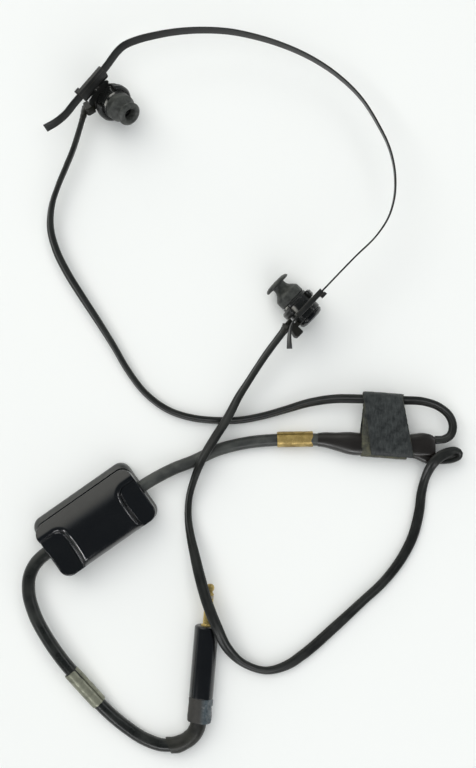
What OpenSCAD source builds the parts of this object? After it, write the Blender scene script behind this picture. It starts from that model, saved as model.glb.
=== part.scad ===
// Aviation headset laid out on a table: a thin adjustable headband with two button receivers and soft
// ear inserts, flat twin leads to a moulded junction, a round cord with an in-line matching
// transformer box, and a two-contact phone plug. Millimetres, +Z up, table at Z = 0.

/* [Headband] */
// Width of the flat band
band_w = 6.4; // [5.6:0.1:6.6]
// Thickness of the flat band
band_t = 1.2; // [0.8:0.1:1.3]

/* [Receivers] */
// Outer diameter of the receiver case
case_d = 21; // [19:0.5:21]
// Outer diameter of the ring that holds the receiver
ring_d = 27.2; // [24:0.2:27.4]
// Diameter of the soft ear insert's body
insert_d = 20.5; // [18:0.5:21]
// Diameter of the insert's ear flange
flange_d = 20.5; // [18:0.5:22]
// Diameter of the smaller ear flange on the left insert
small_flange_d = 17.6; // [16:0.2:20]
// Length of the slider clip along the band
slider_l = 24.6; // [20:0.2:25.4]
// Distance from the pivot rivet to the receiver's axis
arm_l = 15; // [14:0.1:16]
// Swing of the left receiver on its rivet
left_swing = 4; // [0:1:20]
// Swing of the right receiver on its rivet
right_swing = 19; // [0:1:25]

/* [Cords] */
// Width of a flat twin lead
lead_w = 8.2; // [7:0.2:8.2]
// Thickness of a flat twin lead
lead_t = 4.2; // [3.6:0.2:4.4]
// Diameter of the round cord above the box
cord_d = 9; // [8:0.2:9.4]
// Diameter of the round cord below the box
lower_cord_d = 9.6; // [8:0.2:9.8]

/* [Transformer box] */
// Length of the box
box_l = 83; // [70:1:84]
// Width of the box
box_w = 48.6; // [44:0.2:49]
// Height of the box
box_h = 25; // [23:1:27]
// Thickness of the box walls
box_wall = 2.4; // [2:0.2:3]
// Radius of the box's corners
box_r = 8; // [5:0.5:9]

/* [Plug] */
// Diameter of the plug's finger
finger_d = 6.35; // [6.35]
// Length of the plug's finger from the shell to the tip
finger_l = 30.5; // [30:0.5:31]
// Diameter of the plug's shell
shell_d = 17.5; // [16:0.5:18]
// Length of the plug's shell
shell_l = 53; // [48:1:54]

/* [Hidden] */

$fn = 48;
RUBBER = [0.13, 0.13, 0.12];
PAINT = [0.16, 0.16, 0.16];
NICKEL = [0.72, 0.71, 0.68];
BRASS = [0.72, 0.58, 0.30];
PHENOLIC = [0.08, 0.08, 0.09];
STEEL = [0.55, 0.55, 0.56];
COPPER = [0.72, 0.42, 0.25];
FIBRE = [0.55, 0.38, 0.22];

// ---- places -------------------------------------------------------------------------------------
// The band's own frame at a slider: X along the band, Z square to its face towards the ear, Y across
// its width away from the receiver. Each is a centre, a compass angle and a roll from flat.
LEFT_AT = [-92, 76.3, 30.2];
LEFT_DIR = 49;
LEFT_ROLL = 52;
RIGHT_AT = [63, -81, 35.2];
RIGHT_DIR = 226;
RIGHT_ROLL = 90;

// Places children from the slider's frame in the part's frame
module at_slider(centre, dir, roll) {
    translate(centre) rotate([0, 0, dir]) rotate([roll, 0, 0]) children();
}

// A point at distance s along the straight run of band at a slider
function along(centre, dir, s) = centre + s * [cos(dir), sin(dir), 0];

// ---- headband -----------------------------------------------------------------------------------
// Centreline points and the band's roll at each: 0 lies flat, 90 stands on edge
left_run = [for (s = [-19, 0, 36]) concat(along(LEFT_AT, LEFT_DIR, s), LEFT_ROLL)];
right_run = [for (s = [47, 0, -15]) concat(along(RIGHT_AT, RIGHT_DIR, -s), RIGHT_ROLL)];
band_route = concat(
    [[-125.5, 44.5, 28, 46], [-118, 48.5, 29, 48], [-110.5, 54.5, 29.8, 51]],
    left_run,
    [[-60, 107, 30, 53], [-47, 110.5, 29.4, 56], [-29.5, 113.5, 28.8, 60], [-11.5, 114.5, 28.2, 63],
    [6.5, 113.5, 27.8, 66], [24, 110, 27.6, 69], [43.5, 104, 27.6, 73], [63.5, 95, 27.8, 76],
    [82.5, 82.5, 28.4, 80], [99, 66.5, 29.4, 84], [111.5, 47, 30.6, 87], [120, 28.5, 31.8, 89],
    [123.5, 10.5, 32.8, 90], [123, -5, 33.6, 90], [119, -19, 34.6, 90], [110, -33, 35.2, 90]],
    right_run,
    [[50, -96, 35, 86], [48.5, -103, 34.6, 76], [48.5, -113, 34.2, 62]]);

// ---- cord routes: centreline, and for the flat leads the roll of their width --------------------
left_lead_route = [[-101, 52.5, 13.6, 82], [-103.8, 43, 13.4, 84], [-107.5, 31.8, 13, 86],
    [-112.8, 19, 12.6, 86], [-118.4, 5.7, 12.2, 82], [-122.9, -8.1, 12, 72], [-124, -25, 11.6, 62],
    [-120.2, -40.3, 11, 58], [-112.8, -55.9, 10.4, 58], [-101.7, -74, 9.6, 60], [-90, -92, 8.6, 66],
    [-78.6, -110.3, 7.4, 72], [-68.7, -127.4, 6.2, 74], [-55.3, -144.9, 5.2, 74],
    [-38.2, -157.3, 4.8, 72], [-21.3, -162.7, 4.6, 70], [-5, -164.5, 4.6, 68],
    [13.6, -164.3, 4.6, 66], [29.7, -161.4, 5, 66], [46.5, -156.7, 6, 62], [64.4, -151.5, 8, 52],
    [82.4, -148.8, 10.8, 46], [100.5, -148.8, 13.6, 46], [116, -149.1, 14.2, 46],
    [132, -149.8, 14.2, 50], [146.3, -150.7, 13.4, 55], [158.4, -155, 12.4, 60],
    [165.8, -161.8, 11.5, 62], [168, -169.4, 10.9, 62], [166.2, -175.4, 10.3, 62],
    [161.8, -178.1, 10, 62], [155.4, -178.6, 9.8, 62]];
left_relief_route = [[-98, 62.6, 13.2, 60], [-99, 59.8, 13.5, 68], [-100.1, 55.57, 13.66, 76],
    [-100.958, 52.644, 13.603, 82]];
right_relief_route = [[47.4, -96.2, 19.4, 44], [46.4, -97.8, 19.5, 52], [45.19, -99.42, 18.93, 60],
    [44.09, -100.88, 18.62, 66]];
right_lead_route = [[44, -101, 18.6, 66], [40.3, -105.9, 17.6, 68], [32.8, -116, 16.6, 68],
    [25.6, -126.7, 15.6, 70], [19.2, -136.7, 14.2, 68], [13.2, -146, 13, 60],
    [4.5, -162.4, 12.8, 48], [-5.9, -178.8, 13.4, 46], [-12.9, -190.5, 14.3, 52],
    [-19.6, -206.3, 10, 64], [-23.8, -222.4, 6.6, 70], [-24.3, -235.5, 7, 64],
    [-22.4, -248.6, 11, 50], [-19.3, -261.7, 15, 32], [-15.4, -277.7, 17.6, 14],
    [-10.3, -295.2, 18.8, 10], [-3.8, -311.5, 20.6, 14], [4.9, -329.9, 14.5, 30],
    [17, -342, 7.5, 52], [33, -347.2, 4.8, 50], [49.1, -342.8, 4.2, 28], [58.8, -336.3, 4, 20],
    [81.6, -316.6, 4, 20], [104.4, -295.5, 4.4, 34], [116.2, -284.7, 4.4, 32],
    [131, -266.3, 4, 24], [139.5, -250, 3.8, 20], [144.4, -231, 4, 24], [146.3, -216, 4.4, 34],
    [148.2, -208.1, 5.6, 40], [150.6, -200.8, 9.6, 28], [154.3, -194.2, 13.4, 18],
    [159, -190.1, 13.7, 16], [164.2, -187.8, 12.6, 24], [169.1, -186.9, 10.6, 44],
    [172.4, -188.3, 8.2, 66], [172.5, -190.9, 6.4, 76], [168.8, -192.9, 5.7, 76],
    [163.8, -193.8, 5.8, 76], [159, -194, 6.1, 76], [154.2, -193.6, 6.4, 76]];
upper_cord_route = [[71, -178.5, 7.8], [57, -178.4, 6.6], [40.5, -178.8, 5.4], [18, -181, 4.8],
    [-4, -186.6, 4.8], [-20, -194, 5.4], [-35.5, -200, 7.6], [-46, -205.2, 10.6],
    [-55.4, -210.7, 12.4], [-59.1, -213.3, 12.4], [-63.9, -216.6, 12.4]];
lower_cord_route = [[-119.9, -255.8, 12.4], [-124.7, -259.1, 12.4], [-128.4, -261.8, 12.5],
    [-134.6, -268, 13], [-138.8, -276.8, 13.6],
    [-139.5, -287.5, 14.4], [-135.3, -303.5, 15.4], [-125.5, -322.2, 15.6], [-115.8, -336.5, 14.8],
    [-103.4, -352, 12.8], [-88.9, -370.2, 9], [-71, -387, 6.2], [-55, -397.4, 5.9],
    [-42, -401.4, 6.1]];
sleeve_route = [[-42, -401.4, 6.1], [-33.5, -401.2, 6.1], [-25, -397.4, 6.6], [-19, -391, 7.6],
    [-16.6, -383, 8.6], [-15.7, -374, 8.9], [-15.2, -367, 8.9]];

// Direction of the route at point i
function heading(path, i) =
    let (a = path[max(i - 1, 0)], b = path[min(i + 1, len(path) - 1)],
        d = [b[0] - a[0], b[1] - a[1], b[2] - a[2]])
    d / norm(d);

// One ring of an oval section w wide and t thick, with its width rolled up from level
function ring(path, i, w, t, sides, roll) =
    let (d = heading(path, i), level = [d[1], -d[0], 0] / norm([d[0], d[1]]), up = cross(level, d),
        across = cos(roll) * level - sin(roll) * up, through = sin(roll) * level + cos(roll) * up)
    [for (k = [0 : sides - 1])
        let (a = 360 * (k + 0.5) / sides)
        [path[i][0], path[i][1], path[i][2]]
            + w / 2 * cos(a) / cos(180 / sides) * across
            + t / 2 * sin(a) / cos(180 / sides) * through];

// A closed tube along a route of [x, y, z, roll] points
module sweep(path, w, t, sides) {
    last = len(path) - 1;
    rings = [for (i = [0 : last]) each ring(path, i, w, t, sides, path[i][3])];
    sides_faces = [for (i = [0 : last - 1], k = [0 : sides - 1])
        let (a = i * sides + k, b = i * sides + (k + 1) % sides)
        each [[a, a + sides, b + sides], [a, b + sides, b]]];
    cap_start = [for (k = [1 : sides - 2]) [0, k, k + 1]];
    cap_end = [for (k = [1 : sides - 2]) [last * sides, last * sides + k + 1, last * sides + k]];
    polyhedron(points = rings, faces = concat(sides_faces, cap_start, cap_end), convexity = 10);
}

// A round tube along a route of [x, y, z] points
module round_tube(path, d, sides) {
    sweep([for (p = path) [p[0], p[1], p[2], 0]], d, d, sides);
}

module headband() { color(PAINT) sweep(band_route, band_w, band_t, 4); }

// ---- receiver, in the slider's frame ------------------------------------------------------------
// Clear gap round the band inside the slider
slip = 0.3;
// Sheet thickness of the slider and the arm
sheet = 0.8;
channel_y = band_w / 2 + slip + sheet;
channel_z = band_t / 2 + slip + sheet;
// Pivot rivet's distance from the band's centre
pivot_y = 7.2;
tongue_y = 8.2;
lobe_r = 2.6;
rivet_r = 1.2;
// Gap between the slider's tongue and the arm
leaf_gap = 0.2;
tongue_z = -channel_z;
arm_z = tongue_z + sheet + leaf_gap;
// Heights along the receiver's axis
back_z = -9.5;
shell_z0 = -6;
shell_z1 = 7.4;
ring_z0 = 2.6;
ring_z1 = 8.6;
boss_z = 15.4;
nozzle_z = 22;
cap_rim_z = 10.5;
insert_z0 = 10.6;
insert_z1 = 17;
shoulder_z = 21;
left_flange_z = 27.4;
right_flange_z = 28.3;
flange_t = 3;
case_wall = 0.9;
// The cord connector: where its block starts and ends, from the receiver's axis, and its thickness
connector_x0 = 13.1;
connector_x = 18.8;
connector_t = 6;

// The slider: a folded channel round the band, with a tongue for the pivot rivet
module slider_clip() {
    color(PAINT) {
        translate([-slider_l / 2 - 0.8, -channel_y, -channel_z - 2.2]) cube([4.2, 2 * channel_y, 2.3]);
        difference() {
            translate([-slider_l / 2, -channel_y, -channel_z])
                cube([slider_l, 2 * channel_y, 2 * channel_z]);
            translate([-slider_l, -band_w / 2 - slip, -band_t / 2 - slip])
                cube([2 * slider_l, band_w + 2 * slip, band_t + 2 * slip]);
        }
        difference() {
            union() {
                translate([-slider_l / 2, -tongue_y, tongue_z])
                    cube([slider_l, tongue_y - channel_y + sheet, sheet]);
                translate([0, -pivot_y, tongue_z]) cylinder(r = lobe_r, h = sheet);
            }
            translate([0, -pivot_y, tongue_z - 1]) cylinder(r = rivet_r, h = sheet + 2);
        }
    }
}

// The rivet that the arm swings on, headed on both sides
module pivot_rivet() {
    color(STEEL) translate([0, -pivot_y, 0]) {
        translate([0, 0, tongue_z]) cylinder(r = rivet_r, h = arm_z + sheet - tongue_z);
        translate([0, 0, tongue_z - 0.7]) cylinder(r1 = 1.2, r2 = 1.9, h = 0.7);
        translate([0, 0, arm_z + sheet + 0.05]) cylinder(r1 = 2, r2 = 1.2, h = 0.8);
        translate([0, 0, arm_z + sheet - 0.1]) cylinder(r = rivet_r, h = 0.3);
    }
}

// Places children on the receiver's axis, with the arm swung about the rivet
module on_arm(swing) {
    translate([0, -pivot_y, 0]) rotate([0, 0, swing]) translate([0, -arm_l, 0]) children();
}

// The arm: a flat plate with an eye for the rivet and a ring round the receiver's case
module swing_arm(swing) {
    color(PAINT) on_arm(swing) translate([0, 0, arm_z]) difference() {
        union() {
            cylinder(d = case_d + 3.6, h = sheet);
            translate([-5, 0, 0]) cube([10, arm_l - 1.2, sheet]);
            translate([0, arm_l, 0]) cylinder(r = 2.5, h = sheet);
        }
        translate([0, 0, -1]) cylinder(d = case_d + 0.1, h = sheet + 2);
        translate([0, arm_l, -1]) cylinder(r = rivet_r + 0.04, h = sheet + 2);
    }
}

// The receiver's drawn case, a cup open towards the ear
module receiver_case(swing) {
    color(NICKEL) on_arm(swing) rotate_extrude() polygon([
        [0, shell_z0], [case_d / 2 - 1, shell_z0], [case_d / 2, shell_z0 + 1],
        [case_d / 2, shell_z1], [case_d / 2 - case_wall, shell_z1],
        [case_d / 2 - case_wall, shell_z0 + case_wall], [0, shell_z0 + case_wall]]);
}

// The moulded cover on the back of the case
module case_back(swing) {
    color(PHENOLIC) on_arm(swing) rotate_extrude() polygon([
        [0, back_z], [6, back_z], [8.6, back_z + 0.7], [9.9, back_z + 2.2],
        [9.9, shell_z0 - 0.05], [0, shell_z0 - 0.05]]);
}

// The spring ring that holds the cap on the case, open on the band's side
module retaining_ring(swing) {
    color(PAINT) on_arm(swing) difference() {
        rotate_extrude() polygon([
            [case_d / 2 + 0.05, ring_z0], [ring_d / 2 - 1.2, ring_z0], [ring_d / 2, ring_z0 + 1.4],
            [ring_d / 2, ring_z1 - 1.4], [ring_d / 2 - 1.2, ring_z1], [case_d / 2 + 0.05, ring_z1]]);
        translate([0, 0, ring_z0 - 1]) linear_extrude(ring_z1 - ring_z0 + 2)
            polygon([[0, 0], [-16, 20], [16, 20]]);
    }
}

// The front cap with its sound nozzle
module front_cap(swing) {
    color(NICKEL) on_arm(swing) rotate_extrude() polygon([
        [1.6, shell_z1 + 1.4], [1.6, nozzle_z], [3.4, nozzle_z], [4, nozzle_z - 0.6],
        [4, boss_z], [7.6, boss_z], [8.3, boss_z - 0.7], [8.3, cap_rim_z],
        [case_d / 2, cap_rim_z], [case_d / 2, shell_z1], [8.6, shell_z1],
        [8.6, shell_z1 + 1.4]]);
}

// The thin iron diaphragm, clamped between the cap and the case
module diaphragm(swing) {
    color(STEEL) on_arm(swing) translate([0, 0, shell_z1 - 0.45]) cylinder(r = 9.5, h = 0.3);
}

// The ring magnet on the floor of the case
module magnet(swing) {
    color(STEEL) on_arm(swing) translate([0, 0, -3.4]) difference() {
        cylinder(r = 9.2, h = 6);
        translate([0, 0, -1]) cylinder(r = 6.4, h = 8);
    }
}

// The soft-iron yoke and its centre pole
module pole_piece(swing) {
    color(STEEL) on_arm(swing) {
        translate([0, 0, -5]) cylinder(r = 9.2, h = 1.5);
        translate([0, 0, -3.6]) cylinder(r = 2, h = 8.6);
    }
}

// The coil on the centre pole
module coil(swing) {
    color(COPPER) on_arm(swing) translate([0, 0, -3.2]) difference() {
        cylinder(r = 5.8, h = 6.6);
        translate([0, 0, -1]) cylinder(r = 2.1, h = 9);
    }
}

// The moulded two-pin cord connector in the side of the case. side is +1 or -1 along the band, tilt
// turns it towards the band; near is the height of the edge its lead leaves at, far of the other.
module cord_connector(swing, side, tilt, near, far) {
    color(FIBRE * 0.35) on_arm(swing) rotate([0, 0, side > 0 ? tilt : 180 - tilt]) {
        translate([case_d / 2 + 0.02, -2.6, -5.4]) cube([3, 5.2, 3.6]);
        translate([0, connector_t / 2, 0]) rotate([90, 0, 0]) linear_extrude(connector_t) polygon([
            [connector_x0, near], [connector_x - 1.6, near], [connector_x - 0.8, near * 0.7 + far * 0.3],
            [connector_x + 1.2, near * 0.16 + far * 0.84], [connector_x, far],
            [connector_x0, far]]);
    }
}

// The soft ear insert: a cup that grips the cap's boss, a neck and a dished ear flange
module ear_insert(swing, rim_d, rim_z) {
    color(RUBBER) on_arm(swing) rotate_extrude() polygon([
        [8.5, insert_z0], [insert_d / 2 - 0.6, insert_z0], [insert_d / 2, insert_z0 + 0.8],
        [insert_d / 2, insert_z1], [6.2, shoulder_z], [5.1, rim_z - 2.6],
        [6.4, rim_z - 1.9], [rim_d / 2 - 0.9, rim_z - 2.9],
        [rim_d / 2, rim_z - 2.2], [rim_d / 2 - 0.6, rim_z - 0.6],
        [6.6, rim_z + flange_t / 2], [3.6, rim_z + flange_t / 2 - 0.8],
        [2.6, rim_z - 1.4], [2.6, nozzle_z + 0.8], [4.15, nozzle_z + 0.8],
        [4.15, boss_z + 0.4], [8.5, boss_z + 0.4]]);
}

// The two connectors' tilts, and the heights of their near and far edges
LEFT_TILT = 26;
LEFT_NEAR = -9.4;
LEFT_FAR = 1;
RIGHT_NEAR = 3.2;
RIGHT_FAR = -10.8;
module left() {
    at_slider(LEFT_AT, LEFT_DIR, LEFT_ROLL) children();
}
module right() {
    at_slider(RIGHT_AT, RIGHT_DIR, RIGHT_ROLL) children();
}
module left_slider_clip() { left() slider_clip(); }
module left_pivot_rivet() { left() pivot_rivet(); }
module left_swing_arm() { left() swing_arm(left_swing); }
module left_receiver_case() { left() receiver_case(left_swing); }
module left_case_back() { left() case_back(left_swing); }
module left_retaining_ring() { left() retaining_ring(left_swing); }
module left_front_cap() { left() front_cap(left_swing); }
module left_diaphragm() { left() diaphragm(left_swing); }
module left_magnet() { left() magnet(left_swing); }
module left_pole_piece() { left() pole_piece(left_swing); }
module left_coil() { left() coil(left_swing); }
module left_cord_connector() {
    left() cord_connector(left_swing, -1, LEFT_TILT, LEFT_NEAR, LEFT_FAR);
}
module left_ear_insert() { left() ear_insert(left_swing, small_flange_d, left_flange_z); }
module right_slider_clip() { right() slider_clip(); }
module right_pivot_rivet() { right() pivot_rivet(); }
module right_swing_arm() { right() swing_arm(right_swing); }
module right_receiver_case() { right() receiver_case(right_swing); }
module right_case_back() { right() case_back(right_swing); }
module right_retaining_ring() { right() retaining_ring(right_swing); }
module right_front_cap() { right() front_cap(right_swing); }
module right_diaphragm() { right() diaphragm(right_swing); }
module right_magnet() { right() magnet(right_swing); }
module right_pole_piece() { right() pole_piece(right_swing); }
module right_coil() { right() coil(right_swing); }
module right_cord_connector() { right() cord_connector(right_swing, 1, 0, RIGHT_NEAR, RIGHT_FAR); }
module right_ear_insert() { right() ear_insert(right_swing, flange_d, right_flange_z); }

// ---- strain reliefs and cords -------------------------------------------------------------------
sleeve_d = 12;
module strain_relief(path) { color(RUBBER) sweep(path, lead_w + 0.4, lead_t + 0.4, 8); }
module left_strain_relief() { strain_relief(left_relief_route); }
module right_strain_relief() { strain_relief(right_relief_route); }
module left_lead() { color(RUBBER) sweep(left_lead_route, lead_w, lead_t, 8); }
module right_lead() { color(RUBBER) sweep(right_lead_route, lead_w, lead_t, 8); }
module main_cord_upper() { color(RUBBER) round_tube(upper_cord_route, cord_d, 10); }
module main_cord_lower() { color(RUBBER) round_tube(lower_cord_route, lower_cord_d, 10); }
module cord_sleeve() { color(RUBBER) round_tube(sleeve_route, sleeve_d, 10); }

// ---- junction and strap -------------------------------------------------------------------------
// A flat oval slice of the junction, across X, with its two round edges at y0 and y1
module slice(x, y0, y1, z, d) {
    for (y = [y0, y1]) translate([x, y, z]) rotate([0, 90, 0]) cylinder(d = d, h = 1, $fn = 24);
}
module junction_block() {
    color(PHENOLIC) {
        hull() { slice(71, -178.6, -178.4, 7.8, 8.8); slice(93, -183.5, -178.7, 9, 11.6); }
        hull() { slice(93, -183.5, -178.7, 9, 11.6); slice(104, -183.8, -179.4, 9, 11.4); }
        hull() { slice(104, -183.8, -179.4, 9, 11.4); slice(137, -184.9, -180.1, 9.4, 11); }
        hull() { slice(137, -184.9, -180.1, 9.4, 11); slice(149, -185.2, -178.8, 9.8, 10.6); }
        hull() { slice(149, -185.2, -178.8, 9.8, 10.6); slice(153.6, -185.4, -180.6, 9.4, 9); }
        hull() { slice(112, -185.2, -184.6, 7.8, 8.6); slice(140, -187.4, -186.8, 7, 8.6); }
        hull() { slice(140, -187.4, -186.8, 7, 8.6); slice(152.8, -193.4, -192.8, 6.5, 8.4); }
    }
}

// The strap: a leather loop whose outline in Y and Z is the same all the way along, but whose edges
// lean, so that it is wound at an angle round the lead and the junction
STRAP_AT = [121.2, -167.4, 0];
STRAP_DIR = -4.3;
strap_w = 29;
strap_lean = 0.28;
strap_outer = [[-24.9, 4], [-24.9, 13], [-22.2, 16.2], [12, 20.2], [20, 20.2], [22.9, 17.8],
    [22.9, 9.4], [20.4, 7.2], [10, 5.6], [-4, 0.8], [-22.4, 0.8]];
strap_inner = [[-23.4, 4.6], [-23.4, 12.4], [-21.4, 14.7], [12.2, 18.7], [19.4, 18.7], [21.4, 17],
    [21.4, 10.1], [19.8, 8.7], [9.6, 7.1], [-4.4, 2.3], [-21.8, 2.3]];
function strap_ring(side, outline) =
    [for (p = outline) [side * strap_w / 2 - strap_lean * p[0], p[0], p[1]]];
module keeper_strap() {
    n = len(strap_outer);
    points = concat(strap_ring(-1, strap_outer), strap_ring(-1, strap_inner),
        strap_ring(1, strap_outer), strap_ring(1, strap_inner));
    faces = [for (i = [0 : n - 1]) let (j = (i + 1) % n) each [
        [i, j, j + 2 * n, i + 2 * n], [i + n, i + 3 * n, j + 3 * n, j + n],
        [i, i + n, j + n, j], [i + 2 * n, j + 2 * n, j + 3 * n, i + 3 * n]]];
    color([0.2, 0.22, 0.23]) translate(STRAP_AT) rotate([0, 0, STRAP_DIR])
        polyhedron(points = points, faces = faces);
}

module brass_tag() {
    color(BRASS) translate([53.6, -178.4, 6.35]) rotate([0, 90, 1]) difference() {
        cylinder(d = cord_d + 2.2, h = 26, center = true);
        cylinder(d = cord_d + 1.2, h = 28, center = true);
    }
}

module nickel_tag() {
    color(NICKEL) translate([-99, -358, 11.4]) rotate([0, 0, -49]) rotate([0, 97, 0]) difference() {
        cylinder(d = lower_cord_d + 2, h = 31, center = true);
        cylinder(d = lower_cord_d + 1, h = 33, center = true);
    }
}

// ---- transformer box ----------------------------------------------------------------------------
BOX_AT = [-91.9, -236.2, 0];
BOX_DIR = 35;
seam_z = 12.4;
hole_d = 11.6;
module at_box() { translate(BOX_AT) rotate([0, 0, BOX_DIR]) children(); }
module rounded(l, w, r) {
    hull() for (x = [-1, 1], y = [-1, 1]) translate([x * (l / 2 - r), y * (w / 2 - r)]) circle(r = r);
}
module cord_hole() {
    translate([0, 0, seam_z]) rotate([0, 90, 0]) cylinder(d = hole_d, h = box_l + 10, center = true);
}
// The base's rounded shoulder along +Y: how far in and how high; and the cover's crown, which falls
// towards the same side: the edge of each level in Y and its drop from the top
SHOULDER = [[0, 6.4], [0.8, 9], [2.4, 11.2], [4.8, seam_z]];
CROWN = [[-2, 0], [6, 0.9], [12, 2.7], [16, 4.5], [19.5, 6.5]];
cover_low = 0.2 - box_w / 2;
module box_base() {
    color(PHENOLIC) at_box() difference() {
        hull() for (s = SHOULDER) translate([0, -s[0] / 2, 0]) linear_extrude(s[1])
            rounded(box_l - s[0] / 4, box_w - s[0], box_r);
        translate([0, -2.4, box_wall]) linear_extrude(seam_z)
            rounded(box_l - 2 * box_wall, box_w - 2 * box_wall - 4.8, box_r - box_wall);
        cord_hole();
    }
}
module box_cover() {
    color(PHENOLIC) at_box() difference() {
        hull() for (c = CROWN) translate([0, (c[0] + cover_low) / 2, seam_z + 0.1])
            linear_extrude(box_h - seam_z - 0.1 - c[1])
                rounded(box_l - 1.2, c[0] - cover_low, box_r);
        translate([0, -2.4, seam_z - 1]) linear_extrude(6.2)
            rounded(box_l - 2 * box_wall - 1.2, 38.8, box_r - box_wall);
        translate([-17.5, -20, 0]) cube([35, 35.4, 19.6]);
        translate([-17.5, -20, 0]) cube([35, 31.8, 20.8]);
        for (s = [-1, 1]) translate([s * box_l / 2, -box_w / 2, box_h - 5.2])
            linear_extrude(10) rounded(38, 70, 6);
        cord_hole();
    }
}
screw_x = 31;
screw_y = 12;
module box_screws() {
    color(STEEL) at_box() for (x = [-screw_x, screw_x], y = [-screw_y, screw_y])
        translate([x, y, box_wall]) cylinder(r = 1.5, h = 13);
}
module laminated_core() {
    color(STEEL) at_box() translate([0, 0, box_wall + 1]) linear_extrude(16) difference() {
        square([30, 30], center = true);
        for (s = [-1, 1]) translate([0, s * 8.6]) square([20, 6.4], center = true);
    }
}
module coil_bobbin() {
    color(FIBRE) at_box() translate([0, 0, 11.4]) rotate([0, 90, 0]) difference() {
        union() {
            for (s = [-1, 1]) translate([0, 0, s * 9]) cube([17.6, 22.6, 1], center = true);
            cube([17.4, 12, 18], center = true);
        }
        cube([16.2, 10.9, 30], center = true);
    }
}
module transformer_winding() {
    color(COPPER) at_box() translate([0, 0, 11.4]) rotate([0, 90, 0]) difference() {
        cube([17.6, 22, 16.6], center = true);
        cube([17.5, 12.1, 30], center = true);
    }
}
module terminal_strip() {
    color(FIBRE) at_box() for (s = [-1, 1]) translate([s * 23, 0, box_wall]) {
        translate([0, 0, 1.5]) cube([6, 20, 3], center = true);
        for (y = [-6, 0, 6]) translate([0, y, 2.8]) cylinder(r = 1.6, h = 1.6);
    }
}
module grommet(bore) {
    color(RUBBER) at_box() translate([box_l / 2 - 4.5, 0, seam_z]) rotate([0, 90, 0]) difference() {
        union() {
            cylinder(d = hole_d, h = 4.6);
            cylinder(d = hole_d + 1.4, h = 1.5);
        }
        translate([0, 0, -1]) cylinder(d = bore, h = 9);
    }
}
module upper_grommet() { grommet(cord_d); }
module lower_grommet() {
    translate(BOX_AT) rotate([0, 0, 180]) translate(-BOX_AT) grommet(lower_cord_d);
}

// ---- plug ---------------------------------------------------------------------------------------
PLUG_AT = [-10.6, -313.6, 8.9];
PLUG_DIR = 85.2;
module at_plug() { translate(PLUG_AT) rotate([0, 0, PLUG_DIR]) rotate([0, 90, 0]) children(); }
finger_r = finger_d / 2;
module plug_shell() {
    color(PHENOLIC) at_plug() rotate_extrude() polygon([
        [finger_r + 1.4, 0], [7.6, 0], [shell_d / 2, -1.2], [shell_d / 2, 1 - shell_l],
        [shell_d / 2 - 1, -shell_l], [cord_d / 2 + 0.4, -shell_l], [cord_d / 2 + 0.4, 6 - shell_l],
        [6.6, 8 - shell_l], [6.6, -4], [finger_r + 1.4, -4]]);
}
module sleeve_contact() {
    color(BRASS) at_plug() rotate_extrude() polygon([
        [2, -16], [5.6, -16], [5.6, -6], [4.4, -6], [4.4, 0.6], [finger_r, 0.6],
        [finger_r, finger_l - 10.6], [2, finger_l - 10.6]]);
}
module tip_contact() {
    color(BRASS) at_plug() rotate_extrude() polygon([
        [0, -20], [1.2, -20], [1.2, finger_l - 8.6], [finger_r, finger_l - 8.6],
        [finger_r, finger_l - 7.6], [2.3, finger_l - 6.2], [finger_r, finger_l - 3.4],
        [2.5, finger_l - 1.2], [1.2, finger_l], [0, finger_l]]);
}
module plug_insulators() {
    color(FIBRE) at_plug() {
        translate([0, 0, -19]) difference() {
            cylinder(r = 1.9, h = finger_l + 8);
            translate([0, 0, -1]) cylinder(r = 1.25, h = finger_l + 12);
        }
        translate([0, 0, finger_l - 10.5]) difference() {
            cylinder(r = finger_r, h = 1.8);
            translate([0, 0, -1]) cylinder(r = 2, h = 4);
        }
        translate([0, 0, -26]) difference() {
            cylinder(r = 5.6, h = 6);
            translate([0, 0, 5]) cylinder(r = 2, h = 2);
        }
    }
}
module terminal_screws() {
    color(BRASS) at_plug() for (x = [-3, 3]) translate([x, 0, -29]) cylinder(r = 1.4, h = 2.9);
}
module tape_wrap() {
    color([0.3, 0.29, 0.28]) at_plug() translate([0, 0, -shell_l - 17]) difference() {
        cylinder(r = 8.8, h = 16.9);
        translate([0, 0, -1]) cylinder(r = sleeve_d / 2 + 0.1, h = 19);
    }
}

headband();
left_slider_clip();
left_pivot_rivet();
left_swing_arm();
left_receiver_case();
left_case_back();
left_retaining_ring();
left_front_cap();
left_diaphragm();
left_magnet();
left_pole_piece();
left_coil();
left_cord_connector();
left_strain_relief();
left_ear_insert();
right_slider_clip();
right_pivot_rivet();
right_swing_arm();
right_receiver_case();
right_case_back();
right_retaining_ring();
right_front_cap();
right_diaphragm();
right_magnet();
right_pole_piece();
right_coil();
right_cord_connector();
right_strain_relief();
right_ear_insert();
left_lead();
right_lead();
junction_block();
keeper_strap();
brass_tag();
main_cord_upper();
box_base();
box_cover();
box_screws();
laminated_core();
coil_bobbin();
transformer_winding();
terminal_strip();
upper_grommet();
lower_grommet();
main_cord_lower();
nickel_tag();
plug_shell();
sleeve_contact();
tip_contact();
plug_insulators();
terminal_screws();
tape_wrap();
cord_sleeve();
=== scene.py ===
import math
import bmesh
import bpy
import numpy as np
from mathutils import Matrix, Vector, noise


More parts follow.
